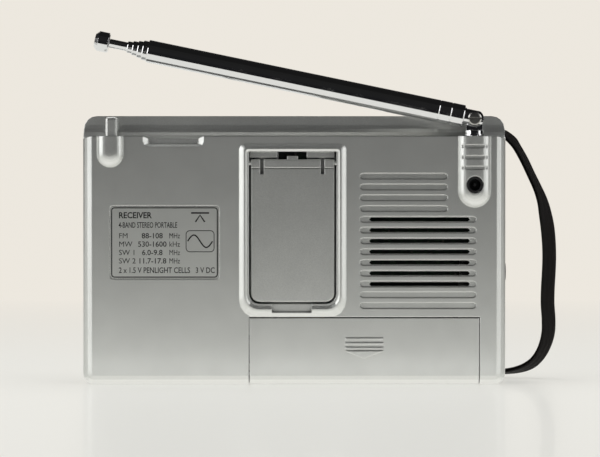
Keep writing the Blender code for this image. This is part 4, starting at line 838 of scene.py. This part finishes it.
def table_top():
    """Pale glossy table; for the camera its shadows are soft and it fades into the backdrop."""
    skin = Skin("table_top")
    grain = skin.noise(4 * MM, 3.0)
    skin.set(Base_Color=(*TABLE_WHITE, 1), Roughness=skin.span(grain, 0.3, 0.7, 0.30, 0.36),
             Specular_IOR_Level=0.25)
    polish = skin.node("ShaderNodeBsdfGlossy", Color=(1, 1, 1, 1), Roughness=0.07)
    surface = skin.node("ShaderNodeMixShader")
    surface.inputs[0].default_value = POLISH_SHARE
    skin.tree.links.new(skin.shader.outputs[0], surface.inputs[1])
    skin.tree.links.new(polish.outputs[0], surface.inputs[2])
    where = skin.node("ShaderNodeTexCoord").outputs["Object"]
    parts = skin.node("ShaderNodeSeparateXYZ", Vector=where)
    far = skin.span(parts.outputs["Y"], *FADE_BACK, 0.0, 1.0)
    side = skin.span(skin.math("ABSOLUTE", parts.outputs["X"]), *FADE_SIDE, 0.0, 1.0)
    rays = skin.node("ShaderNodeLightPath").outputs
    away = skin.math("MULTIPLY", skin.math("MAXIMUM", far, side), rays["Is Camera Ray"])
    soft = skin.math("MULTIPLY", rays["Is Camera Ray"], SOFT_SHARE)
    layers = ((soft, TABLE_SEEN), (rays["Is Glossy Ray"], TABLE_REFLECTED), (away, BACKDROP))
    shader = surface.outputs[0]
    for share, colour in layers:
        glow = skin.node("ShaderNodeEmission", Color=(*colour, 1), Strength=1.0)
        mix = skin.node("ShaderNodeMixShader")
        skin.tree.links.new(share, mix.inputs[0])
        skin.tree.links.new(shader, mix.inputs[1])
        skin.tree.links.new(glow.outputs[0], mix.inputs[2])
        shader = mix.outputs[0]
    skin.tree.links.new(shader, skin.tree.nodes["Material Output"].inputs["Surface"])
    bm = bmesh.new()
    bmesh.ops.create_grid(bm, x_segments=8, y_segments=8, size=0.5)
    middle = Vector((0, (TABLE_FRONT + TABLE_BACK) / 2, 0))
    bmesh.ops.transform(bm, verts=bm.verts,
                        matrix=Matrix.Translation(middle)
                        @ Matrix.Diagonal((2 * TABLE_SIDE, TABLE_FRONT - TABLE_BACK, 1, 1)))
    mesh = bpy.data.meshes.new("table_top")
    bm.to_mesh(mesh)
    bm.free()
    mesh.materials.append(skin.material)
    table = bpy.data.objects.new("table_top", mesh)
    bpy.context.scene.collection.objects.link(table)


LENS = 186.5             # focal length in mm on a sensor 36 mm wide
AIM = Vector((-1.85, 12.0, 50.4)) * MM
DISTANCE = 1.0
RISE = math.radians(1.5)


def camera():
    """Straight behind the object, looking slightly down."""
    data = bpy.data.cameras.new("camera")
    data.lens = LENS
    data.sensor_width = 36.0
    data.clip_start, data.clip_end = 0.05, 50.0
    eye = bpy.data.objects.new("camera", data)
    eye.location = AIM + DISTANCE * Vector((0, math.cos(RISE), math.sin(RISE)))
    eye.rotation_euler = (AIM - eye.location).to_track_quat("-Z", "Y").to_euler()
    bpy.context.scene.collection.objects.link(eye)
    bpy.context.scene.camera = eye


finishes = dress()
dark_ink = ink("dark_ink", INK)
label_print(dark_ink)
front_print(dark_ink)
dial_print(ink("pale_ink", PALE_INK))
disc_cloth()
woven_strap(finishes["black_webbing"])
studio()
table_top()
case_group = case_only()
for *settings, lit in LIGHTS:
    area_light(*settings, case_group if lit == "case" else None)
camera()
bpy.context.scene.view_settings.view_transform = "Standard"
